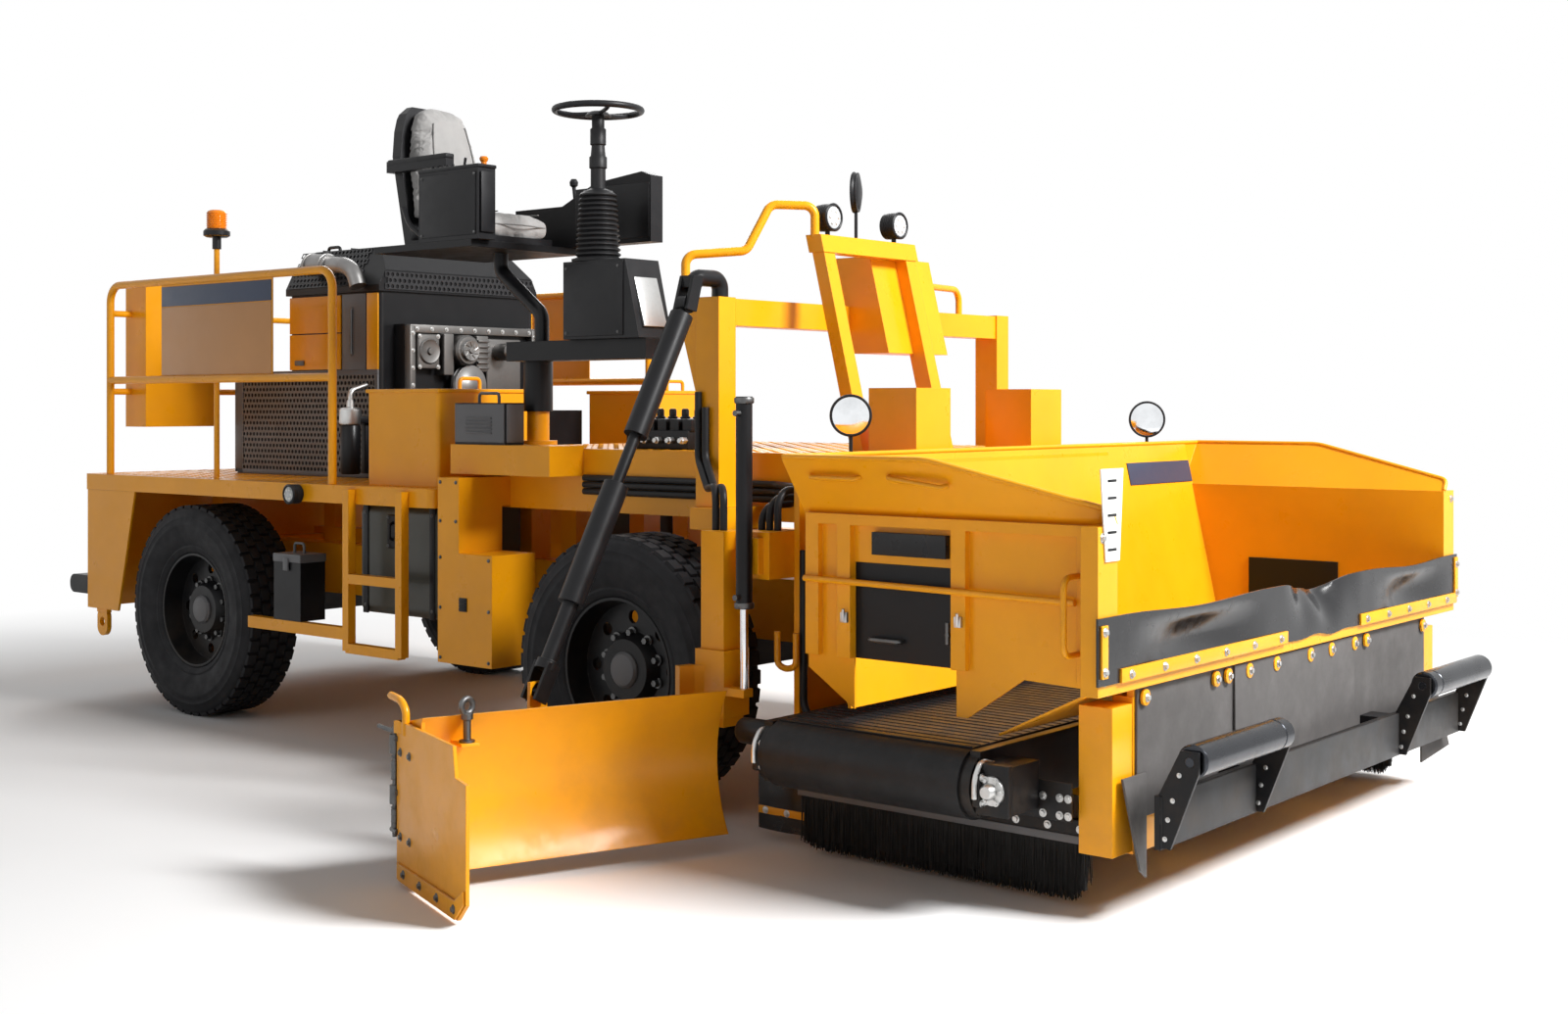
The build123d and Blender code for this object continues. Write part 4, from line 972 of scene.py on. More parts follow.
class WIDENER_OT_deck(bpy.types.Operator):
    """Makes the lids, handles, stripes, beacon and tank fittings of the deck"""
    bl_idname = "widener.deck"
    bl_label = "Deck"

    def execute(self, context):
        lids = Shape().pair((-1822, -1298), (424, 1006), (1644, 1662), 5, 3)
        for side in SIDES:
            lids.handle((-1440, side * 760, 1660), (-1440, side * 640, 1660), (0, 0, 52),
                        9, 12, 22)
        lids.done("box_lids", "yellow_paint")
        stripe = Shape().pair((-3430, -2466), (1072, 1075.5), (2098, 2200), 1)
        stripe.done("guard_stripe", "stripe_navy")
        # Guard-rail panels below the stripe, in the tan finish that paints shade onto the yellow
        # panels
        tinted = Shape().pair((-3430, -2466), (1072, 1075), (1742, 2094), 1)
        tinted.done("guard_face", "pale_panel")
        profile = [(0, 103), (34, 102), (44, 97), (49, 90)]
        for z in range(86, 10, -9):
            profile += [(51.5, z), (47.5, z - 4.5)]
        lens = Shape().lathe((BEACON_X, BEACON_Y, 2475), UP, profile + [(51.5, 1), (0, 1)])
        lens.done("beacon_dome", "amber_plastic", sharp=50.0, replaces=("beacon_lens",))
        base = Shape().lathe((BEACON_X, BEACON_Y, 2440), UP, [
            (0, 0), (52, 0), (66, 8), (66, 30), (60, 37), (54, 42), (0, 42)], 40)
        base.rod((BEACON_X, BEACON_Y, 2380), (BEACON_X, BEACON_Y, 2442), 22)
        base.done("beacon_base", "black_plastic")
        self.tanks()
        self.small_boxes()
        return {"FINISHED"}

    def tanks(self):
        """Hatch, bands and filler caps of the side tanks."""
        black = Shape().pair((-1640, -1545), (1008, 1024), (930, 1085), 8, 3)
        for x in TANK_BANDS:
            black.pair((x - 18, x + 18), (1006, 1015), (622, 1128), 2)
        heads = []
        for side in SIDES:
            grip = ((1024, 1050), (1046, 1040), (1046, 980), (1024, 970))
            black.pipe([(-1592, side * y, z) for y, z in grip], 7, 10, 14)
            black.lathe((-1700, side * 760, 1120), UP, [
                (0, 0), (40, 0), (40, 12), (58, 14), (58, 34), (48, 42), (0, 43)], 28)
            for xs, y, zs in ((TANK_BANDS, 1015, (660, 1090)), ((-1630, -1556), 1024, (942, 1074)),
                              ((-1168, -850), 1102, (480, 700, 920)),
                              ((-1168, -1064), 1102, (1080, 1250))):
                heads += rows(xs, [side * y], zs, (0, side, 0))
        black.done("tank_fittings", "black_paint")
        bolts("deck_bolts", heads, 5.5, 5, finish="dark_steel")

    def small_boxes(self):
        """Faces and catches of the controller, the tool box and the lockers."""
        grey = Shape().block((-1196, -874), (-996, -988), (1424, 1592), 6, 3)
        grey.block((-871, -863), (-984, -886), (1424, 1592), 4)
        for z in range(1462, 1530, 16):
            grey.block((-1120, -950), (-1001, -995), (z, z + 8), 2)
        grey.handle((-1100, -935, 1596), (-970, -935, 1596), (0, 0, 44), 7, 10, 18)
        grey.block((-2352, -2133), (-1145, -995), (840, 880), 6, 3)
        grey.block((-2262, -2222), (-1152, -1143), (800, 860), 4)
        grey.handle((-2280, -1070, 876), (-2204, -1070, 876), (0, 0, 50), 7, 10, 20)
        grey.done("box_faces", "trim_grey")
        vent = Shape().pair((-1040, -990), (1100, 1105), (690, 750), 4)
        for z in range(697, 740, 13):
            vent.pair((-1036, -994), (1104, 1110), (z, z + 7), 2)
        vent.done("locker_vents", "black_plastic")


# Name, spans, height and the places kept free of each tread plate
WALKWAYS = (
    ("deck_pattern", (-4130, -1250), (-1060, 1060), 1215, (
        (-3625, -2240, -545, 545), (-2500, -2350, -700, -500), (-1835, -1290, -1020, -415),
        (-1835, -1290, 415, 1020), (-4010, -3770, -970, -510), (-2345, -1850, -440, 440),
        (-3050, -2975, -1060, -980))),
    ("platform_pattern", (-1200, 800), (-780, 780), 1400, (
        (820, 1080, -660, -390), (820, 1080, 170, 445), (-1010, -850, -800, -660))))
PLATE_SINK = 0.3


class WIDENER_OT_walkways(bpy.types.Operator):
    """Makes the raised pattern of the deck and the platform"""
    bl_idname = "widener.walkways"
    bl_label = "Walkways"

    def execute(self, context):
        step = context.scene.widener_sizes.plate_step * 1000
        for name, (low, high), (right, left), z, kept in WALKWAYS:
            points, spins = [], []
            for i in range(int((high - low) / step)):
                for k in range(int((left - right) / step)):
                    x, y = low + step * (i + 0.5), right + step * (k + 0.5)
                    if not any(a <= x <= b and c <= y <= d for a, b, c, d in kept):
                        points.append(at(x, y, z - PLATE_SINK))
                        spins.append((0, 0, math.pi / 4 if (i + k) % 2 else -math.pi / 4))
            plate = grown(name, plate_tree, points, {"Length": step * 0.0006}, "yellow_paint",
                          spin=spins)
            settle(plate, "yellow_paint", sharp=30.0)
        return {"FINISHED"}


class WIDENER_OT_tail(bpy.types.Operator):
    """Makes the radiator grille, the tail lamps and the hitch at the rear"""
    bl_idname = "widener.tail"
    bl_label = "Tail"

    def execute(self, context):
        bars = Shape().pair((-3612, -3596), (486, 516), (1222, 1756), 3)
        for z in ((1222, 1250), (1730, 1756)):
            bars.block((-3612, -3596), (-516, 516), z, 3)
        bars.done("radiator_frame", "trim_grey")
        sieve("radiator_sieve", (-3604, 490, 1248), (0, -980, 0), (0, 0, 486), "sieve_grey")
        sieve("hood_rear_sieve", (-3103, 480, 1790), (0, -960, 0), (0, 0, 350), "sieve_dark")
        lamps, bowls, hitch, top = Shape(), Shape(), Shape(), Shape()
        for side in SIDES:
            spot = (-4114, side * 880, 980)
            bowls.lathe(spot, BACK,
                        [(0, 0), (70, 0), (74, 8), (70, 18), (62, 20), (60, 14), (0, 14)], 40)
            lamps.lathe(spot, BACK, [(0, 28), (20, 27), (44, 23), (60, 16), (60, 12), (0, 12)], 40)
            y = side * 300
            top.handle((-3060, y, 2396), (-2960, y, 2396), (0, 0, 40), 9, 12, 24)
        bowls.done("tail_lamp_bowls", "black_plastic")
        lamps.done("tail_lamps", "red_lens")
        hitch.block((-4150, -4110), (-150, 150), (700, 860), 8, 3)
        jaw = ((-4140, -70), (-4230, -50), (-4268, 0), (-4230, 50), (-4140, 70))
        for z in (730, 806):
            hitch.prism([(*spot, z) for spot in jaw], (0, 0, 22), 3)
        hitch.rod((-4215, 0, 690), (-4215, 0, 850), 20, 24)
        hitch.lathe((-4215, 0, 850), UP, [(0, 26), (20, 24), (32, 12), (32, 0), (0, 0)], 24)
        hitch.done("tow_hitch", "black_paint")
        heads = rows([-4150], (-125, 125), (722, 838), BACK)
        heads += rows([-3612], (-501, 501), range(1260, 1750, 110), BACK)
        bolts("tail_bolts", heads, 8, 7)
        for x in (-2940, -2700):
            top.block((x - 2, x + 2), (-426, 426), (2398, 2408), 1.5)
        top.lathe((-2560, 260, 2396), UP,
                  [(0, 60), (52, 58), (60, 48), (60, 40), (34, 34), (34, 0), (0, 0)], 32)
        top.done("hood_fittings", "black_paint")
        return {"FINISHED"}


# Place, facing and radius of the lamps; place, radius and heading of the mirrors
LAMPS = (((545, -488, 2350), AHEAD, 55), ((545, -32, 2350), AHEAD, 55),
         ((-2212, -1150, 1165), RIGHT, 45))
MIRRORS = (((525, -310, 2468), 82, 208), ((1138, -1146, 1552), 72, -53),
           ((1138, 1042, 1524), 78, -53))


class WIDENER_OT_lamps(bpy.types.Operator):
    """Makes the lamp bezels and lenses and the mirror glasses"""
    bl_idname = "widener.lamps"
    bl_label = "Lamps and mirrors"

    def execute(self, context):
        rims, panes, leds = Shape(), Shape(), []
        for spot, facing, r in LAMPS:
            rims.lathe(spot, facing, [(r - 9, -8), (r + 2, -8), (r + 3, 4), (r - 4, 9), (r - 9, 6),
                                      (r - 9, -8)], 40)
            panes.lathe(spot, facing, [(0, 7), (r - 22, 6), (r - 8, 2), (r - 8, -4), (0, -4)], 40)
            for fin in (-22, -31, -40, -49):
                rims.lathe(spot, facing, [(r - 8, fin), (r + 1, fin), (r + 1, fin + 5),
                                          (r - 8, fin + 5), (r - 8, fin)], 32)
            way = Vector(facing)
            side = Vector((-way.y, way.x, 0))
            for k in range(6):
                over, rise = polar(60 * k, r * 0.5)
                led = Vector(spot) + side * over + Vector((0, 0, rise)) + way * 6
                leds.append((*led, facing))
        rims.done("lamp_rims", "black_plastic")
        panes.done("lamp_panes", "lamp_glass")
        bolts("lamp_leds", leds, 5, 3, 10, "lamp_led")
        backs, glasses = Shape(), Shape()
        for spot, r, turn in MIRRORS:
            way = (*polar(turn, 1), 0)
            backs.lathe(spot, way, [(0, -24), (r * 0.4, -22), (r * 0.8, -15), (r, -2), (r + 4, 8),
                                    (r + 2, 13), (r - 5, 13), (r - 6, 9), (0, 9)])
            glasses.lathe(spot, way, [(0, 19), (r * 0.4, 18), (r * 0.75, 15), (r - 5, 11),
                                      (r - 5, 8), (0, 8)])
        backs.done("mirror_backs", "black_plastic")
        glasses.done("mirror_glasses", "mirror_glass")
        return {"FINISHED"}


SEAT_MIDDLE = -850.0
# Height and half width of the seat's back
BACK_WIDTHS = ((2430, 186), (2600, 190), (2720, 186), (2800, 170), (2870, 148), (2925, 116),
               (2950, 80))
PAD_VOXEL = 0.006  # metres
PAD_PRESSURE, PAD_FRAMES, PAD_FILL = 4.0, 20, 0.7


def back_lean(z):
    """How far the front of the seat's back stands off its foot at a height."""
    return max(0.0, 2600 - z) * 0.1 - max(0.0, z - 2600) * 0.219


def soft_pad(name, shape, rest, swell):
    """Pad blown up by a cloth simulation, held to its resting face and to a largest swell."""
    pad = shape.done(name, "seat_cloth", "station", 60.0)
    scene = bpy.context.scene
    for kind, values in (("REMESH", {"mode": "VOXEL", "voxel_size": PAD_VOXEL}),
                         ("SMOOTH", {"factor": 0.5, "iterations": 6})):
        modifier = pad.modifiers.new(kind, kind)
        for key, value in values.items():
            setattr(modifier, key, value)
    bake_modifiers(pad)
    start = [vert.co.copy() for vert in pad.data.vertices]
    ends = start
    cloth = pad.modifiers.new("cloth", "CLOTH")
    cloth.settings.use_pressure = True
    cloth.settings.uniform_pressure_force = PAD_PRESSURE
    cloth.settings.effector_weights.gravity = 0.0
    cloth.point_cache.frame_start, cloth.point_cache.frame_end = 1, PAD_FRAMES
    for step in range(1, PAD_FRAMES + 1):
        scene.frame_set(step)
    view = bpy.context.evaluated_depsgraph_get()
    blown = pad.evaluated_get(view).to_mesh()
    ends = [vert.co.copy() for vert in blown.vertices]
    pad.modifiers.remove(cloth)
    scene.frame_set(1)
    for vert, before, after in zip(pad.data.vertices, start, ends):
        move = after - before
        if move.length > swell / 1000:
            move *= swell / 1000 / move.length
        spot = before + move
        depth = (spot - rest[0]).dot(rest[1])
        if depth < 0:
            spot -= rest[1] * depth
        vert.co = spot
    finer = pad.modifiers.new("finer", "SUBSURF")
    finer.levels = finer.render_levels = 1
    bake_modifiers(pad)
    settle(pad, "seat_cloth", "station", 60.0)
    return pad


class WIDENER_OT_seat(bpy.types.Operator):
    """Makes the two soft pads of the seat with their seams"""
    bl_idname = "widener.seat"
    bl_label = "Seat"

    def execute(self, context):
        y = SEAT_MIDDLE
        base = Shape().block((-1372, -918), (y - 178, y + 178), (2336, 2412), 34, 4)
        lower = soft_pad("seat_cushion", base, (at(0, 0, 2331), Vector(UP)), 24)
        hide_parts("seat_cushions")
        back = Shape()
        rings = []
        for z, half in BACK_WIDTHS:
            front = -1372 + back_lean(z) - (22 if z > 2940 else 0)
            rear = -1452 - (z - 2430) * 0.19
            rings.append([back.bm.verts.new(at(*spot, z)) for spot in (
                (rear, y - half + 12), (rear, y + half - 12), (front - 14, y + half),
                (front, y + half * 0.6), (front, y - half * 0.6), (front - 14, y - half))])
        for one, two in zip(rings, rings[1:]):
            for k in range(6):
                n = (k + 1) % 6
                back.bm.faces.new((one[k], one[n], two[n], two[k]))
        back.bm.faces.new(rings[0])
        back.bm.faces.new(rings[-1])
        soft_pad("seat_back", back, (at(-1450, y, 2430), Vector((0.982, 0, 0.187))), 22)
        seams = Shape()
        for side in SIDES:
            seams.pipe([(x, y + side * off, z) for x, off, z in
                        ((-940, 120, 2437), (-1150, 124, 2441), (-1360, 118, 2436))], 3.0, 8, 60)
            seams.pipe([(-1348 + back_lean(z), y + side * half * 0.62, z)
                        for z, half in BACK_WIDTHS[1:5]], 3.0, 8, 40)
        seams.pipe([(-930, y - 150, 2380), (-905, y, 2382), (-930, y + 150, 2380)], 3.0, 8, 80)
        seams.done("seat_piping", "seat_trim", "station")
        return {"FINISHED"}


STEER_X, STEER_Y = -490, -800
BOOT_FOOT, BOOT_RISE = 2222, 276


class WIDENER_OT_station(bpy.types.Operator):
    """Makes the ribbed boot, the steering wheel and the controls of the station"""
    bl_idname = "widener.station"
    bl_label = "Operator's station"

    def execute(self, context):
        middle = (STEER_X, STEER_Y, 0)
        ribs = context.scene.widener_sizes.boot_ribs
        step = BOOT_RISE / ribs
        profile = [(0, 2200), (112, 2200), (114, 2212), (100, 2216)]
        for k in range(ribs):
            z, radius = BOOT_FOOT + BOOT_RISE * k / ribs, 98 - 19 * k / ribs
            profile += [(radius - 11, z), (radius, z + step * 0.35), (radius, z + step * 0.6),
                        (radius - 11, z + step * 0.95)]
        profile += [(62, 2504), (40, 2512), (32, 2516), (32, 2600), (38, 2604), (38, 2650),
                    (32, 2656), (28, 2700), (34, 2704), (34, 2770), (27, 2776), (27, 2828),
                    (0, 2828)]
        boot = Shape().lathe(middle, UP, profile, 56)
        boot.done("steer_boot", "soft_black", "station", 50.0, ("steer_column",))
        wheel = Shape().torus((STEER_X, STEER_Y, 2852), UP, 185, 14, 72, 14)
        wheel.lathe(middle, UP, [(0, 2848), (30, 2847), (46, 2840), (58, 2826), (46, 2830.5),
                                 (36, 2831), (0, 2831)], 36)
        for turn in (90, 210, 330):
            c, d = polar(turn, 1)
            wheel.pipe([(STEER_X + r * c, STEER_Y + r * d, z) for r, z in
                        ((36, 2838), (90, 2836), (150, 2840), (184, 2852))], 9.5, 10, 30)
        wheel.done("hand_wheel", "black_plastic", "steer_wheel", 40.0, ("steer_wheel",))
        self.controls()
        return {"FINISHED"}

    def controls(self):
        """Console lid, knob, levers, dash plate and foot pedal."""
        black = Shape()
        for x, y, z, bevel, steps in (
                ((-1260, -856), (-1154, -1048), (2606, 2622), 6, 3),
                ((-1240, -876), (-1154, -1149), (2320, 2590), 5, 2),
                ((-856, -850), (-1140, -1062), (2330, 2590), 5, 2),
                ((-1258, -400), (-500, -494), (2320, 2480), 4, 2),
                ((-860, -402), (-579, -574), (2320, 2560), 5, 2),
                ((-596, -240), (-900, -904), (1880, 2190), 4, 2),
                ((-596, -240), (-700, -696), (1880, 2190), 4, 2)):
            black.block(x, y, z, bevel, steps)
        black.rod((-900, -540, 2510), (-905, -545, 2580), 9, 12)
        black.lathe((-905, -545, 2590), UP,
                    [(0, 26), (12, 24), (20, 10), (18, -6), (8, -14), (0, -14)], 20)
        black.rod((-1010, -1100, 2618), (-1000, -1100, 2662), 6, 10)
        for x in range(-1220, -1050, 34):
            black.rod((x, -1100, 2620), (x, -1100, 2640), 7, 12)
        black.pipe(((-1470, -1062, 2480), (-1420, -1072, 2400), (-1330, -1072, 2340)), 11, 12, 40)
        black.done("station_trim", "black_plastic", "station")
        knob = Shape().lathe((-890, -1092, 2620), UP, [(0, 40), (15, 38), (20, 30), (17, 20),
                                                       (12, 14), (13, 0), (0, 0)], 24)
        knob.done("console_knob", "amber_plastic", "station")
        pedal = Shape().prism(((-160, -868, 1912), (-160, -732, 1912), (-222, -732, 2120),
                               (-222, -868, 2120)), (14, 0, 4), 3)
        pedal.done("foot_pedal", "bright_steel", "station")
        arm = Shape().block((-1545, -1136), (-1098, -1046), (2672, 2698), 11, 4)
        arm.done("arm_rest_pad", "soft_black", "station")
        heads = rows((-1232, -884), [-1154], (2330, 2580), RIGHT)
        heads += rows((-580, -270), [-904], (1895, 2170), RIGHT)
        bolts("station_screws", heads, 4.5, 4, 10, "dark_steel", "station")


class WIDENER_OT_hopper(bpy.types.Operator):
    """Makes the handles, latches, plates and edge beads of the hopper"""
    bl_idname = "widener.hopper"
    bl_label = "Hopper trim"

    def execute(self, context):
        rods, steel, marks = Shape(), Shape(), Shape()
        for side in SIDES:
            y = side * 1424
            rods.handle((2228, y, 826), (2228, y, 1066), (0, side * 88, 0), 10, 12, 40)
            rods.rod((1158, side * 1434, 996), (2222, side * 1434, 984), 11, 16)
            y, out = side * 1490, side * 1512
            for (a, high), (b, low) in (((1236, 1352), (1440, 1350)), ((1560, 1356), (1790, 1332))):
                rods.pipe([(a, y, high), (a + 12, out, high - 6), (b - 12, out, low - 6),
                           (b, y, low)], 9, 10, 16)
            rods.pipe([(x, side * y, z) for x, y, z in
                       ((1140, 1527, 1415), (1734, 1527, 1415), (2343, 1431, 1272),
                        (2343, 1402, 1228))], 9, 12, 40)
            for x, z in ((1330, 873), (1791, 892)):
                steel.block((x - 14, x + 14), (side * 1424, side * 1440), (z - 18, z + 18), 4)
                steel.rod((x, side * 1440, z - 12), (x + 8, side * 1450, z + 30), 5, 10)
        rods.pipe([(1140, -1520, 1415), (1140, 1520, 1415)], 9, 12)
        rods.done("hopper_handles", "yellow_paint")
        plates = Shape().pair((1440, 1738), (1400, 1427), (1090, 1166), 2)
        plates.done("hopper_plates", "blank_plate")
        stripe = Shape().prism(((1160.5, 813, 1332), (1160.5, 1392, 1332), (1181.5, 1392, 1236),
                                (1181.5, 813, 1236)), (4, 0, 1))
        stripe.done("wall_stripe", "stripe_navy")
        steel.done("gate_latches", "bright_steel")
        gauge = Shape().prism(((2346, -1388, 1118), (2346, -1472, 1118), (2346, -1502, 1398),
                               (2346, -1366, 1398)), (5, 0, 0), 1)
        gauge.done("fill_gauge", "white_plate")
        for z in range(1150, 1400, 52):
            marks.block((2350, 2353), (-1462, -1410), (z, z + 8), 0.5)
        marks.done("gauge_marks", "black_plastic")
        heads = rows([2345], (-1480, 1480), [1190], AHEAD)
        heads += rows([2345], (-1470, 1470), [760], AHEAD)
        bolts("hopper_bolts", heads, 11, 8)
        for name, y, low, foot, radius in (("right", -1392, 1333, 804, 8),
                                           ("left", 1392, 1467, 588, 6)):
            face = Shape().handle((low + 90, y, foot), (low + 210, y, foot),
                                  (0, math.copysign(26, y), 0), radius, 10, 16)
            if name == "right":
                face.rod((1738, -1388, 844), (1738, -1420, 844), 8, 12)
                face.rod((1738, -1416, 814), (1738, -1416, 884), 7, 12)
            face.done("gate_handle_" + name, "dark_steel", "gate_" + name)
        return {"FINISHED"}


FLAP_BARS = ((-1394, -201), (462, 1500))
CURTAIN_STUDS = (-1190, -700, -610, -450, -230, 60, 250, 470, 590, 1190)


def hump(t):
    """One at zero, falling to none at one either way."""
    return 0.5 * (1 + math.cos(math.pi * t)) if abs(t) < 1 else 0.0


def flap_place(u, v):
    """Millimetre point on the mouth's flap: dented between its clamps, folded in the middle."""
    y, z, x = -1525 + 3050 * u, 748 + 204 * v, 2354.0
    for middle, half, depth in ((-840, 520, 50), (1020, 440, 44)):
        dent = hump((y - middle) / half)
        x -= depth * dent * math.sin(math.pi * min(1.0, v * 1.15)) ** 0.9
        z -= 14 * dent * v
    t = (y - 130) / 360
    fold = hump(t)
    x -= 70 * fold * v * v + 10 * fold * math.sin(9 * t) * v
    z -= 46 * fold * v + 8 * math.sin(7 * t) * fold
    return x, y, z


def ear_place(side):
    """Surface of the curtain's flared end on one side."""
    def place(u, v):
        return (2330 + 60 * (1 - v) * u, side * (1180 + 150 * u),
                110 + 60 * u + (330 - 60 * u) * v)
    return place


def curtain_place(low, high, k):
    """Surface of one of the curtain's overlapping sheets."""
    def place(u, v):
        y = low + (high - low) * u
        wave = 3.0 * math.sin(y / 90 + k) * (1 - v)
        return 2322 + 9 * (k % 2) + wave, y, 300 + 405 * v
    return place


class WIDENER_OT_flaps(bpy.types.Operator):
    """Makes the rubber flap of the hopper's mouth, the curtain under it and their clamps"""
    bl_idname = "widener.flaps"
    bl_label = "Flaps"

    def execute(self, context):
        flap = Shape().sheet(flap_place, 122, 12, (7, 0, 0))
        flap.done("mouth_flap", "flap_rubber", sharp=60.0, replaces=("rubber_flaps",))
        curtain = Shape()
        for k, (low, high) in enumerate(((-1225, -480), (-560, 470), (390, 1225))):
            curtain.sheet(curtain_place(low, high, k), 36, 8, (8, 0, 0))
        for side in SIDES:
            curtain.sheet(ear_place(side), 8, 8, (8, 0, 0))
        curtain.done("curtain", "curtain_rubber", sharp=60.0)
        bars, heads = Shape(), []
        for low, high in FLAP_BARS:
            bars.block((2353, 2362), (low, high), (746, 790), 2)
            heads += rows([2362], range(low + 60, high, 215), [768], AHEAD)
        bars.block((2353, 2361), (-1512, -1474), (770, 930), 2)
        bars.block((2353, 2361), (1486, 1522), (770, 940), 2)
        for y in CURTAIN_STUDS:
            bars.lathe((2332, y, 676), AHEAD, [(0, 6), (16, 6), (26, 3), (26, -6), (0, -6)], 20)
        bars.done("flap_clamps", "yellow_paint")
        heads += rows([2361], (-1493, 1504), (790, 910), AHEAD)
        heads += rows([2338], CURTAIN_STUDS, [676], AHEAD)
        bolts("flap_bolts", heads, 10, 9)
        return {"FINISHED"}


class WIDENER_OT_brushes(bpy.types.Operator):
    """Makes the bristles of the side brushes and their clamp strips"""
    bl_idname = "widener.brushes"
    bl_label = "Brushes"

    def execute(self, context):
        sizes = context.scene.widener_sizes
        points, cores, strips, heads = [], Shape(), Shape(), []
        for side in SIDES:
            for k in range(sizes.bristle_count):
                along = (k + 0.5) / sizes.bristle_count
                row = ((k * 7) % 5 - 2) / 2
                lift = max(0.0, along - 0.95) ** 2 * 32000 + max(0.0, 0.05 - along) * 500
                points.append(at(1022 + 1152 * along, side * (1270 + 13 * row), 217 + lift))
            cores.sheet(lambda u, v, s=side: (1030 + 1136 * u, s * 1270 + 8, 60 + 152 * v),
                        40, 2, (0, 16, 0))
            heads += rows(range(1090, 2160, 118), [side * 1285], [252], (0, side, 0))
        for y in ((1250, 1256), (1284, 1290)):
            strips.pair((1010, 2186), y, (206, 232), 2)
        brush = grown("brush_bristles", bristle_tree, points, {"Splay": sizes.bristle_splay},
                      "bristle_fibre")
        settle(brush, "bristle_fibre", sharp=60.0, replaces=("bristles",))
        cores.done("brush_cores", "bristle_fibre")
        strips.done("brush_strips", "trim_grey")
        bolts("brush_bolts", heads, 9, 7)
        return {"FINISHED"}


BELT_RIBS, BELT_REACH = 64, 1560


class WIDENER_OT_conveyor(bpy.types.Operator):
    """Makes the hubs, take-up plates and motors at the conveyor's ends"""
    bl_idname = "widener.conveyor"
    bl_label = "Conveyor"

    def execute(self, context):
        steel, black, grips, heads = Shape(), Shape(), Shape(), []
        for side in SIDES:
            out = (0, side, 0)
            y = side * 1580
            steel.lathe((2018, y, 405), out, [(0, 44), (18, 44), (24, 36), (26, 14), (44, 12),
                                              (48, 4), (48, -4), (0, -4)], 32)
            for k in range(6):
                along, rise = polar(60 * k, 36)
                heads.append((2018 + along, y + side * 12, 405 + rise, out))
            for x in (1078, 1968):
                steel.pipe([(x + 8, side * y, z) for y, z in
                            ((1500, 470), (1580, 492), (1618, 440), (1618, 380))], 9, 10, 26)
                steel.rod((x + 8, side * 1400, 405), (x + 8, side * 1600, 405), 8, 12)
                heads += rows([x + 23], (side * 1460, side * 1596), (366, 444), AHEAD)
            heads += rows((2090, 2150, 2180), [side * 1404], (318, 372), out)
        for x, y, z, bevel, steps in (((1958, 2078), (1560, 1586), (326, 486), 4, 2),
                                      ((1072, 1100), (1440, 1612), (352, 458), 8, 3),
                                      ((1962, 1990), (1440, 1612), (352, 458), 8, 3),
                                      ((1960, 2190), (1392, 1404), (300, 420), 3, 2)):
            black.pair(x, y, z, bevel, steps)
        black.lathe((880, -1440, 443), AHEAD,
                    [(0, 0), (40, 0), (46, 10), (46, 128), (40, 138), (0, 138)], 32)
        black.rod((1016, -1440, 443), (1090, -1440, 430), 22, 20)
        for k in range(8):
            black.torus((1022 + 8 * k, -1440, 442 - k), AHEAD, 24, 3.4, 24, 8)
        steel.done("conveyor_steel", "bright_steel")
        black.done("conveyor_plates", "black_paint")
        bolts("conveyor_bolts", heads, 9, 8)
        for k in range(BELT_RIBS):
            y = -BELT_REACH + 2 * BELT_REACH * (k + 0.5) / BELT_RIBS
            grips.block((1130, 1914), (y - 2.5, y + 2.5), (517, 522.5), 1.5)
        grips.done("belt_ribs", "belt_rubber")
        return {"FINISHED"}


class WIDENER_OT_hydraulics(bpy.types.Operator):
    """Makes the valve block with its fittings and the lifting loops by the front axle"""
    bl_idname = "widener.hydraulics"
    bl_label = "Hydraulics"

    def execute(self, context):
        loops = Shape()
        bow = ((826, 760), (826, 640), (870, 625), (914, 640), (914, 760))
        for y in (-1180, 1180):
            loops.pipe([(x, y, z) for x, z in bow], 12, 12, 40)
        loops.done("lifting_loops", "yellow_paint")
        valves, fittings, heads = Shape(), Shape(), []
        valves.block((-420, -60), (-700, -540), (1402, 1482), 6)
        for x in range(-390, -100, 72):
            valves.block((x, x + 52), (-690, -550), (1478, 1530), 5)
            valves.lathe((x + 26, -620, 1530), UP, [(0, 44), (12, 43), (16, 36), (16, 12),
                                                    (22, 8), (22, 0), (0, 0)], 20)
            for y, facing in ((-708, RIGHT), (-545, LEFT)):
                fittings.lathe((x + 26, y, 1440), facing, [(0, -10), (16, -10), (16, 16), (11, 18),
                                                           (11, 30), (0, 30)], 6)
            heads.append((x + 26, -660, 1530, UP))
        valves.done("valve_block", "black_paint")
        fittings.done("valve_fittings", "bright_steel")
        bolts("valve_bolts", heads, 6, 5)
        return {"FINISHED"}


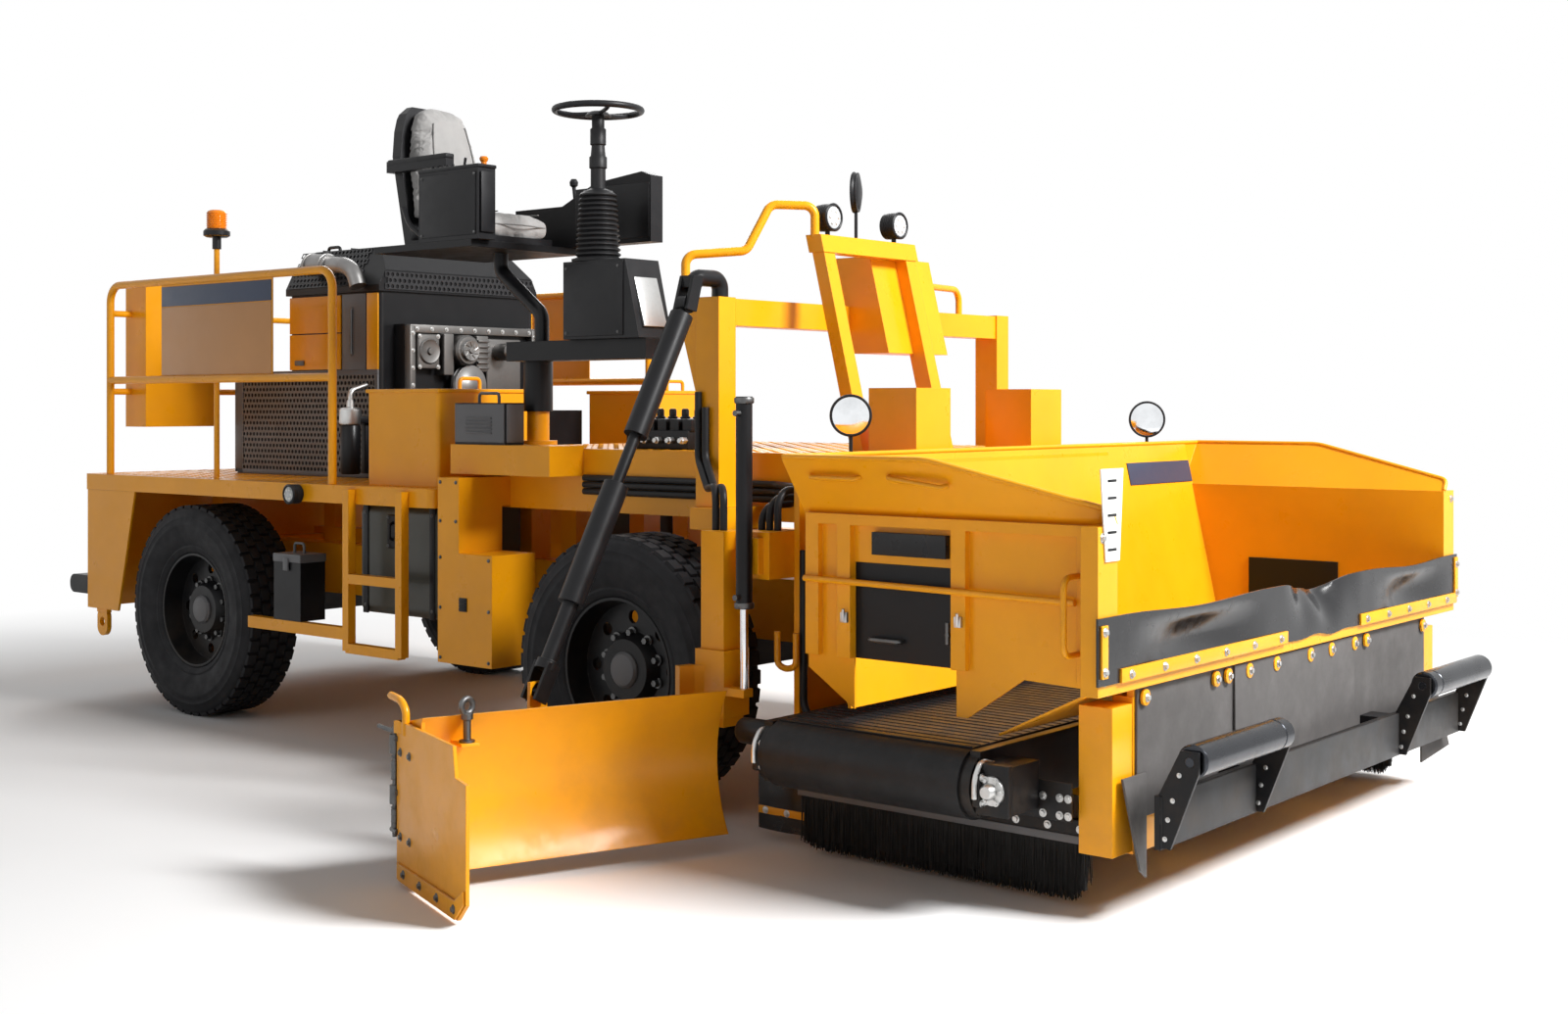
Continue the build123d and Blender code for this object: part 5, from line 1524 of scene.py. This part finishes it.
class WIDENER_OT_push_bar(bpy.types.Operator):
    """Makes the face, the bolts and the roller ends of the push bar"""
    bl_idname = "widener.push_bar"
    bl_label = "Push bar"

    def execute(self, context):
        face = Shape().block((2438, 2444), (-1297, 1297), (237, 398), 2)
        face.done("push_face", "grey_paint")
        heads = []
        for side, hand in HANDS:
            for y, out in ((628, -1), (640, 1), (1282, -1), (1294, 1)):
                heads += [(x, side * y, z, (0, side * out, 0)) for x, z in
                          ((2452, 270), (2462, 330), (2478, 390), (2500, 470))]
            drum = Shape().lathe((2534, 0, 513), (0, side, 0), [
                (0, 628), (14.5, 628), (14.5, 646), (44, 646), (51, 652), (51, 706), (49, 709),
                (49, 716), (51, 719), (51, 1269), (46, 1275), (14.5, 1275), (14.5, 1294),
                (0, 1294)])
            roller = "roller_" + hand
            drum.done("push_drum_" + hand, "roller_steel", roller, replaces=(roller,))
        bolts("push_bolts", heads, 5.5, 5)
        return {"FINISHED"}


JACK_N, JACK_S = -112, 1108


class WIDENER_OT_strike_off(bpy.types.Operator):
    """Makes the fittings of the strike-off blade, its end gate and its lift"""
    bl_idname = "widener.strike_off"
    bl_label = "Strike-off"

    def execute(self, context):
        shelf = Shape().prism([on_blade(n, s, 474) for n, s in
                               ((46, 908), (150, 908), (150, 972), (46, 972))], (0, 0, 12), 3)
        shelf.done("eye_shelf", "yellow_paint", "blade")
        foot = on_blade(118, 940, 484)
        eye = Shape().lathe(foot, UP, [(0, 0), (26, 0), (26, 9), (13, 12), (13, 74), (20, 78),
                                       (20, 96), (0, 98)], 20)
        eye.torus((*foot[:2], 604), AHEAD, 24, 10, 24, 10)
        eye.done("blade_eye", "dark_steel", "blade")
        self.end_gate()
        rings = Shape()
        for z in (868, 1605):
            rings.lathe((812, -1350, z), UP, [(0, -10), (34, -10), (36, -6), (36, 8), (34, 12),
                                              (0, 12)], 28)
        for z in (900, 1560):
            rings.rod((812, -1350, z), (812, -1402, z), 11, 14)
        rings.done("lift_fittings", "dark_steel")
        skirt = Shape().sheet(lambda u, v: (760 + 360 * u, -1200 - 10 * math.sin(5 * u) * (1 - v),
                                            40 + 300 * v), 16, 6, (0, 8, 0))
        skirt.done("inner_skirt", "flap_rubber", sharp=60.0)
        strip = Shape().block((764, 1116), (-1216, -1207), (96, 124), 2)
        strip.done("skirt_strip", "yellow_paint")
        bolts("skirt_bolts", rows((800, 900, 1000, 1080), [-1216], [110], RIGHT), 9, 7)
        return {"FINISHED"}

    def end_gate(self):
        """Hook, jack, shoe and bolts of the end gate."""
        out = Vector(on_blade(0, 1, 0)) - Vector(on_blade(0, 0, 0))
        hook = Shape().pipe([on_blade(*spot) for spot in (
            (-20, 1100, 500), (-20, 1100, 585), (-60, 1104, 612), (-150, 1108, 616))], 13, 14, 50)
        hook.block(*zip(*(on_blade(-95, 1096, 500), on_blade(-40, 1104, 541))), 2)
        hook.done("end_gate_hook", "yellow_paint", "end_gate")
        jack = Shape()
        for low, high, radius, sides in ((180, 242, 12, 16), (260, 322, 17, 16), (340, 402, 12, 16),
                                         (430, 492, 17, 16), (150, 520, 8, 14)):
            jack.rod(on_blade(JACK_N, JACK_S, low), on_blade(JACK_N, JACK_S, high), radius, sides)
        for z in (170, 300, 480):
            jack.rod(on_blade(-140, JACK_S, z), on_blade(-84, JACK_S, z), 9, 12)
        for z in range(200, 480, 24):
            jack.torus(on_blade(JACK_N, JACK_S, z), UP, 10, 3, 18, 6)
        jack.rod(on_blade(JACK_N, JACK_S, 500), on_blade(-185, 1140, 512), 7, 12)
        jack.done("end_gate_jack", "dark_steel", "end_gate")
        shoe = Shape().prism([on_blade(n, 1108, z) for n, z in (
            (-70, 20), (-50, 16), (474, 16), (546, 76), (546, 120), (474, 74), (-70, 74))],
            tuple(out * 8), 2)
        shoe.done("end_gate_shoe", "yellow_paint", "end_gate")
        heads = [(*on_blade(n, 1116, 48), out) for n in (0, 160, 320, 470)]
        heads += [(*on_blade(n, 1107, z), out) for n in (-55, 35) for z in (160, 440)]
        bolts("end_gate_bolts", heads, 10, 8, finish="dark_steel", body="end_gate")


# Name, place, aim, size in metres and watts of the lights
LIGHTS = (("key", (9.5, 1.5, 7.5), (0.5, -0.2, 0.9), 3.0, 2080.0),
          ("side", (-2.5, -10.0, 4.5), (-0.5, 0, 1.0), 6.0, 80.0),
          ("back", (-7.0, 7.0, 6.5), (0, 0, 1.0), 5.0, 420.0))
CAMERA_PLACE, SENSOR = (5058, -6265, 1593), 36.0
FLOOR_HALF, FLOOR_DROP = 60.0, 0.0005  # metres
SHADOW_ENDS, WHITE_STARTS = 4.2, 7.5  # metres from the row frame's origin
SKY_STRENGTH = 0.2


class WIDENER_OT_stage(bpy.types.Operator):
    """Makes the floor, the lights and the camera"""
    bl_idname = "widener.stage"
    bl_label = "Stage"

    def execute(self, context):
        scene = context.scene
        scene.view_settings.view_transform = "Standard"
        choice = scene.widener_stage
        camera = bpy.data.objects.new("camera", bpy.data.cameras.new("camera"))
        scene.collection.objects.link(camera)
        camera.location = at(*CAMERA_PLACE)
        camera.rotation_euler = (math.pi / 2, 0.0, choice.turn)
        camera.data.lens = choice.lens
        camera.data.sensor_width = SENSOR
        camera.data.shift_y = choice.drop
        scene.camera = camera
        sheet = bpy.data.meshes.new("floor")
        ends = (-FLOOR_HALF, FLOOR_HALF)
        sheet.from_pydata([(x, y, 0) for x in ends for y in ends], [], [(0, 2, 3, 1)])
        floor = bpy.data.objects.new("floor", sheet)
        floor.location.z = -FLOOR_DROP
        scene.collection.objects.link(floor)
        floor.data.materials.append(floor_finish())
        for name, spot, aim, size, power in LIGHTS:
            lamp = bpy.data.lights.new(name, "AREA")
            lamp.size = size
            lamp.energy = power
            holder = bpy.data.objects.new(name, lamp)
            holder.location = spot
            holder.rotation_euler = (Vector(aim) - Vector(spot)).to_track_quat("-Z", "Y").to_euler()
            scene.collection.objects.link(holder)
        world_light(scene)
        return {"FINISHED"}


def seen_by_eye(tree):
    """One where the ray is a camera, mirror or glass ray."""
    path = add_node(tree, "ShaderNodeLightPath")
    some = math_node(tree, "MAXIMUM", path["Is Camera Ray"], path["Is Glossy Ray"])
    return math_node(tree, "MAXIMUM", some, path["Is Transmission Ray"])


def floor_finish():
    """Pale floor that keeps the machine's shadow and runs out to white."""
    tree, shader, where = new_finish("floor_pale", (0.9, 0.9, 0.9), 0.9, specular=0.1)
    reach = add_node(tree, "ShaderNodeVectorMath", {0: where}, operation="LENGTH")["Value"]
    far = ramp(tree, reach, SHADOW_ENDS, WHITE_STARTS)
    white = add_node(tree, "ShaderNodeEmission")["Emission"]
    mixed = add_node(tree, "ShaderNodeMixShader", {0: times(tree, far, seen_by_eye(tree)),
                                                   1: shader.outputs["BSDF"], 2: white})["Shader"]
    tree.links.new(mixed, tree.nodes["Material Output"].inputs["Surface"])
    return FINISH["floor_pale"]


def world_light(scene):
    """Even light from all round, white where it is seen."""
    world = bpy.data.worlds.new("sky")
    world.use_nodes = True
    scene.world = world
    tree = world.node_tree
    back = tree.nodes["Background"]
    back.inputs["Color"].default_value = (1, 1, 1, 1)
    seen = seen_by_eye(tree)
    rest = times(tree, seen, 1 - SKY_STRENGTH)
    strength = math_node(tree, "ADD", rest, SKY_STRENGTH)
    tree.links.new(strength, back.inputs["Strength"])


CLASSES = [
    WidenerColours, WidenerSizes, WidenerStage, WIDENER_OT_finishes, WIDENER_OT_tyres,
    WIDENER_OT_hubs, WIDENER_OT_engine_bay, WIDENER_OT_deck, WIDENER_OT_walkways, WIDENER_OT_tail,
    WIDENER_OT_lamps, WIDENER_OT_seat, WIDENER_OT_station, WIDENER_OT_hopper, WIDENER_OT_flaps,
    WIDENER_OT_brushes, WIDENER_OT_conveyor, WIDENER_OT_hydraulics, WIDENER_OT_push_bar,
    WIDENER_OT_strike_off, WIDENER_OT_stage]


class WIDENER_PT_panel(bpy.types.Panel):
    """Lists the steps that build the machine's looks"""
    bl_idname = "WIDENER_PT_panel"
    bl_label = "Road widener"
    bl_space_type = "VIEW_3D"
    bl_region_type = "UI"
    bl_category = "Road widener"

    def draw(self, context):
        for choice in (context.scene.widener_colours, context.scene.widener_sizes,
                       context.scene.widener_stage):
            for name in choice.__annotations__:
                self.layout.prop(choice, name)
        for kind in CLASSES:
            if issubclass(kind, bpy.types.Operator):
                self.layout.operator(kind.bl_idname)


def register():
    """Adds the classes and the choices."""
    for kind in CLASSES + [WIDENER_PT_panel]:
        bpy.utils.register_class(kind)
    bpy.types.Scene.widener_colours = PointerProperty(type=WidenerColours)
    bpy.types.Scene.widener_sizes = PointerProperty(type=WidenerSizes)
    bpy.types.Scene.widener_stage = PointerProperty(type=WidenerStage)


def unregister():
    """Takes the classes and the choices away."""
    del bpy.types.Scene.widener_stage
    del bpy.types.Scene.widener_sizes
    del bpy.types.Scene.widener_colours
    for kind in reversed(CLASSES + [WIDENER_PT_panel]):
        bpy.utils.unregister_class(kind)


def main():
    """Builds everything."""
    register()
    for kind in CLASSES:
        if issubclass(kind, bpy.types.Operator):
            group, step = kind.bl_idname.split(".")
            getattr(getattr(bpy.ops, group), step)()


if __name__ == "__main__":
    main()
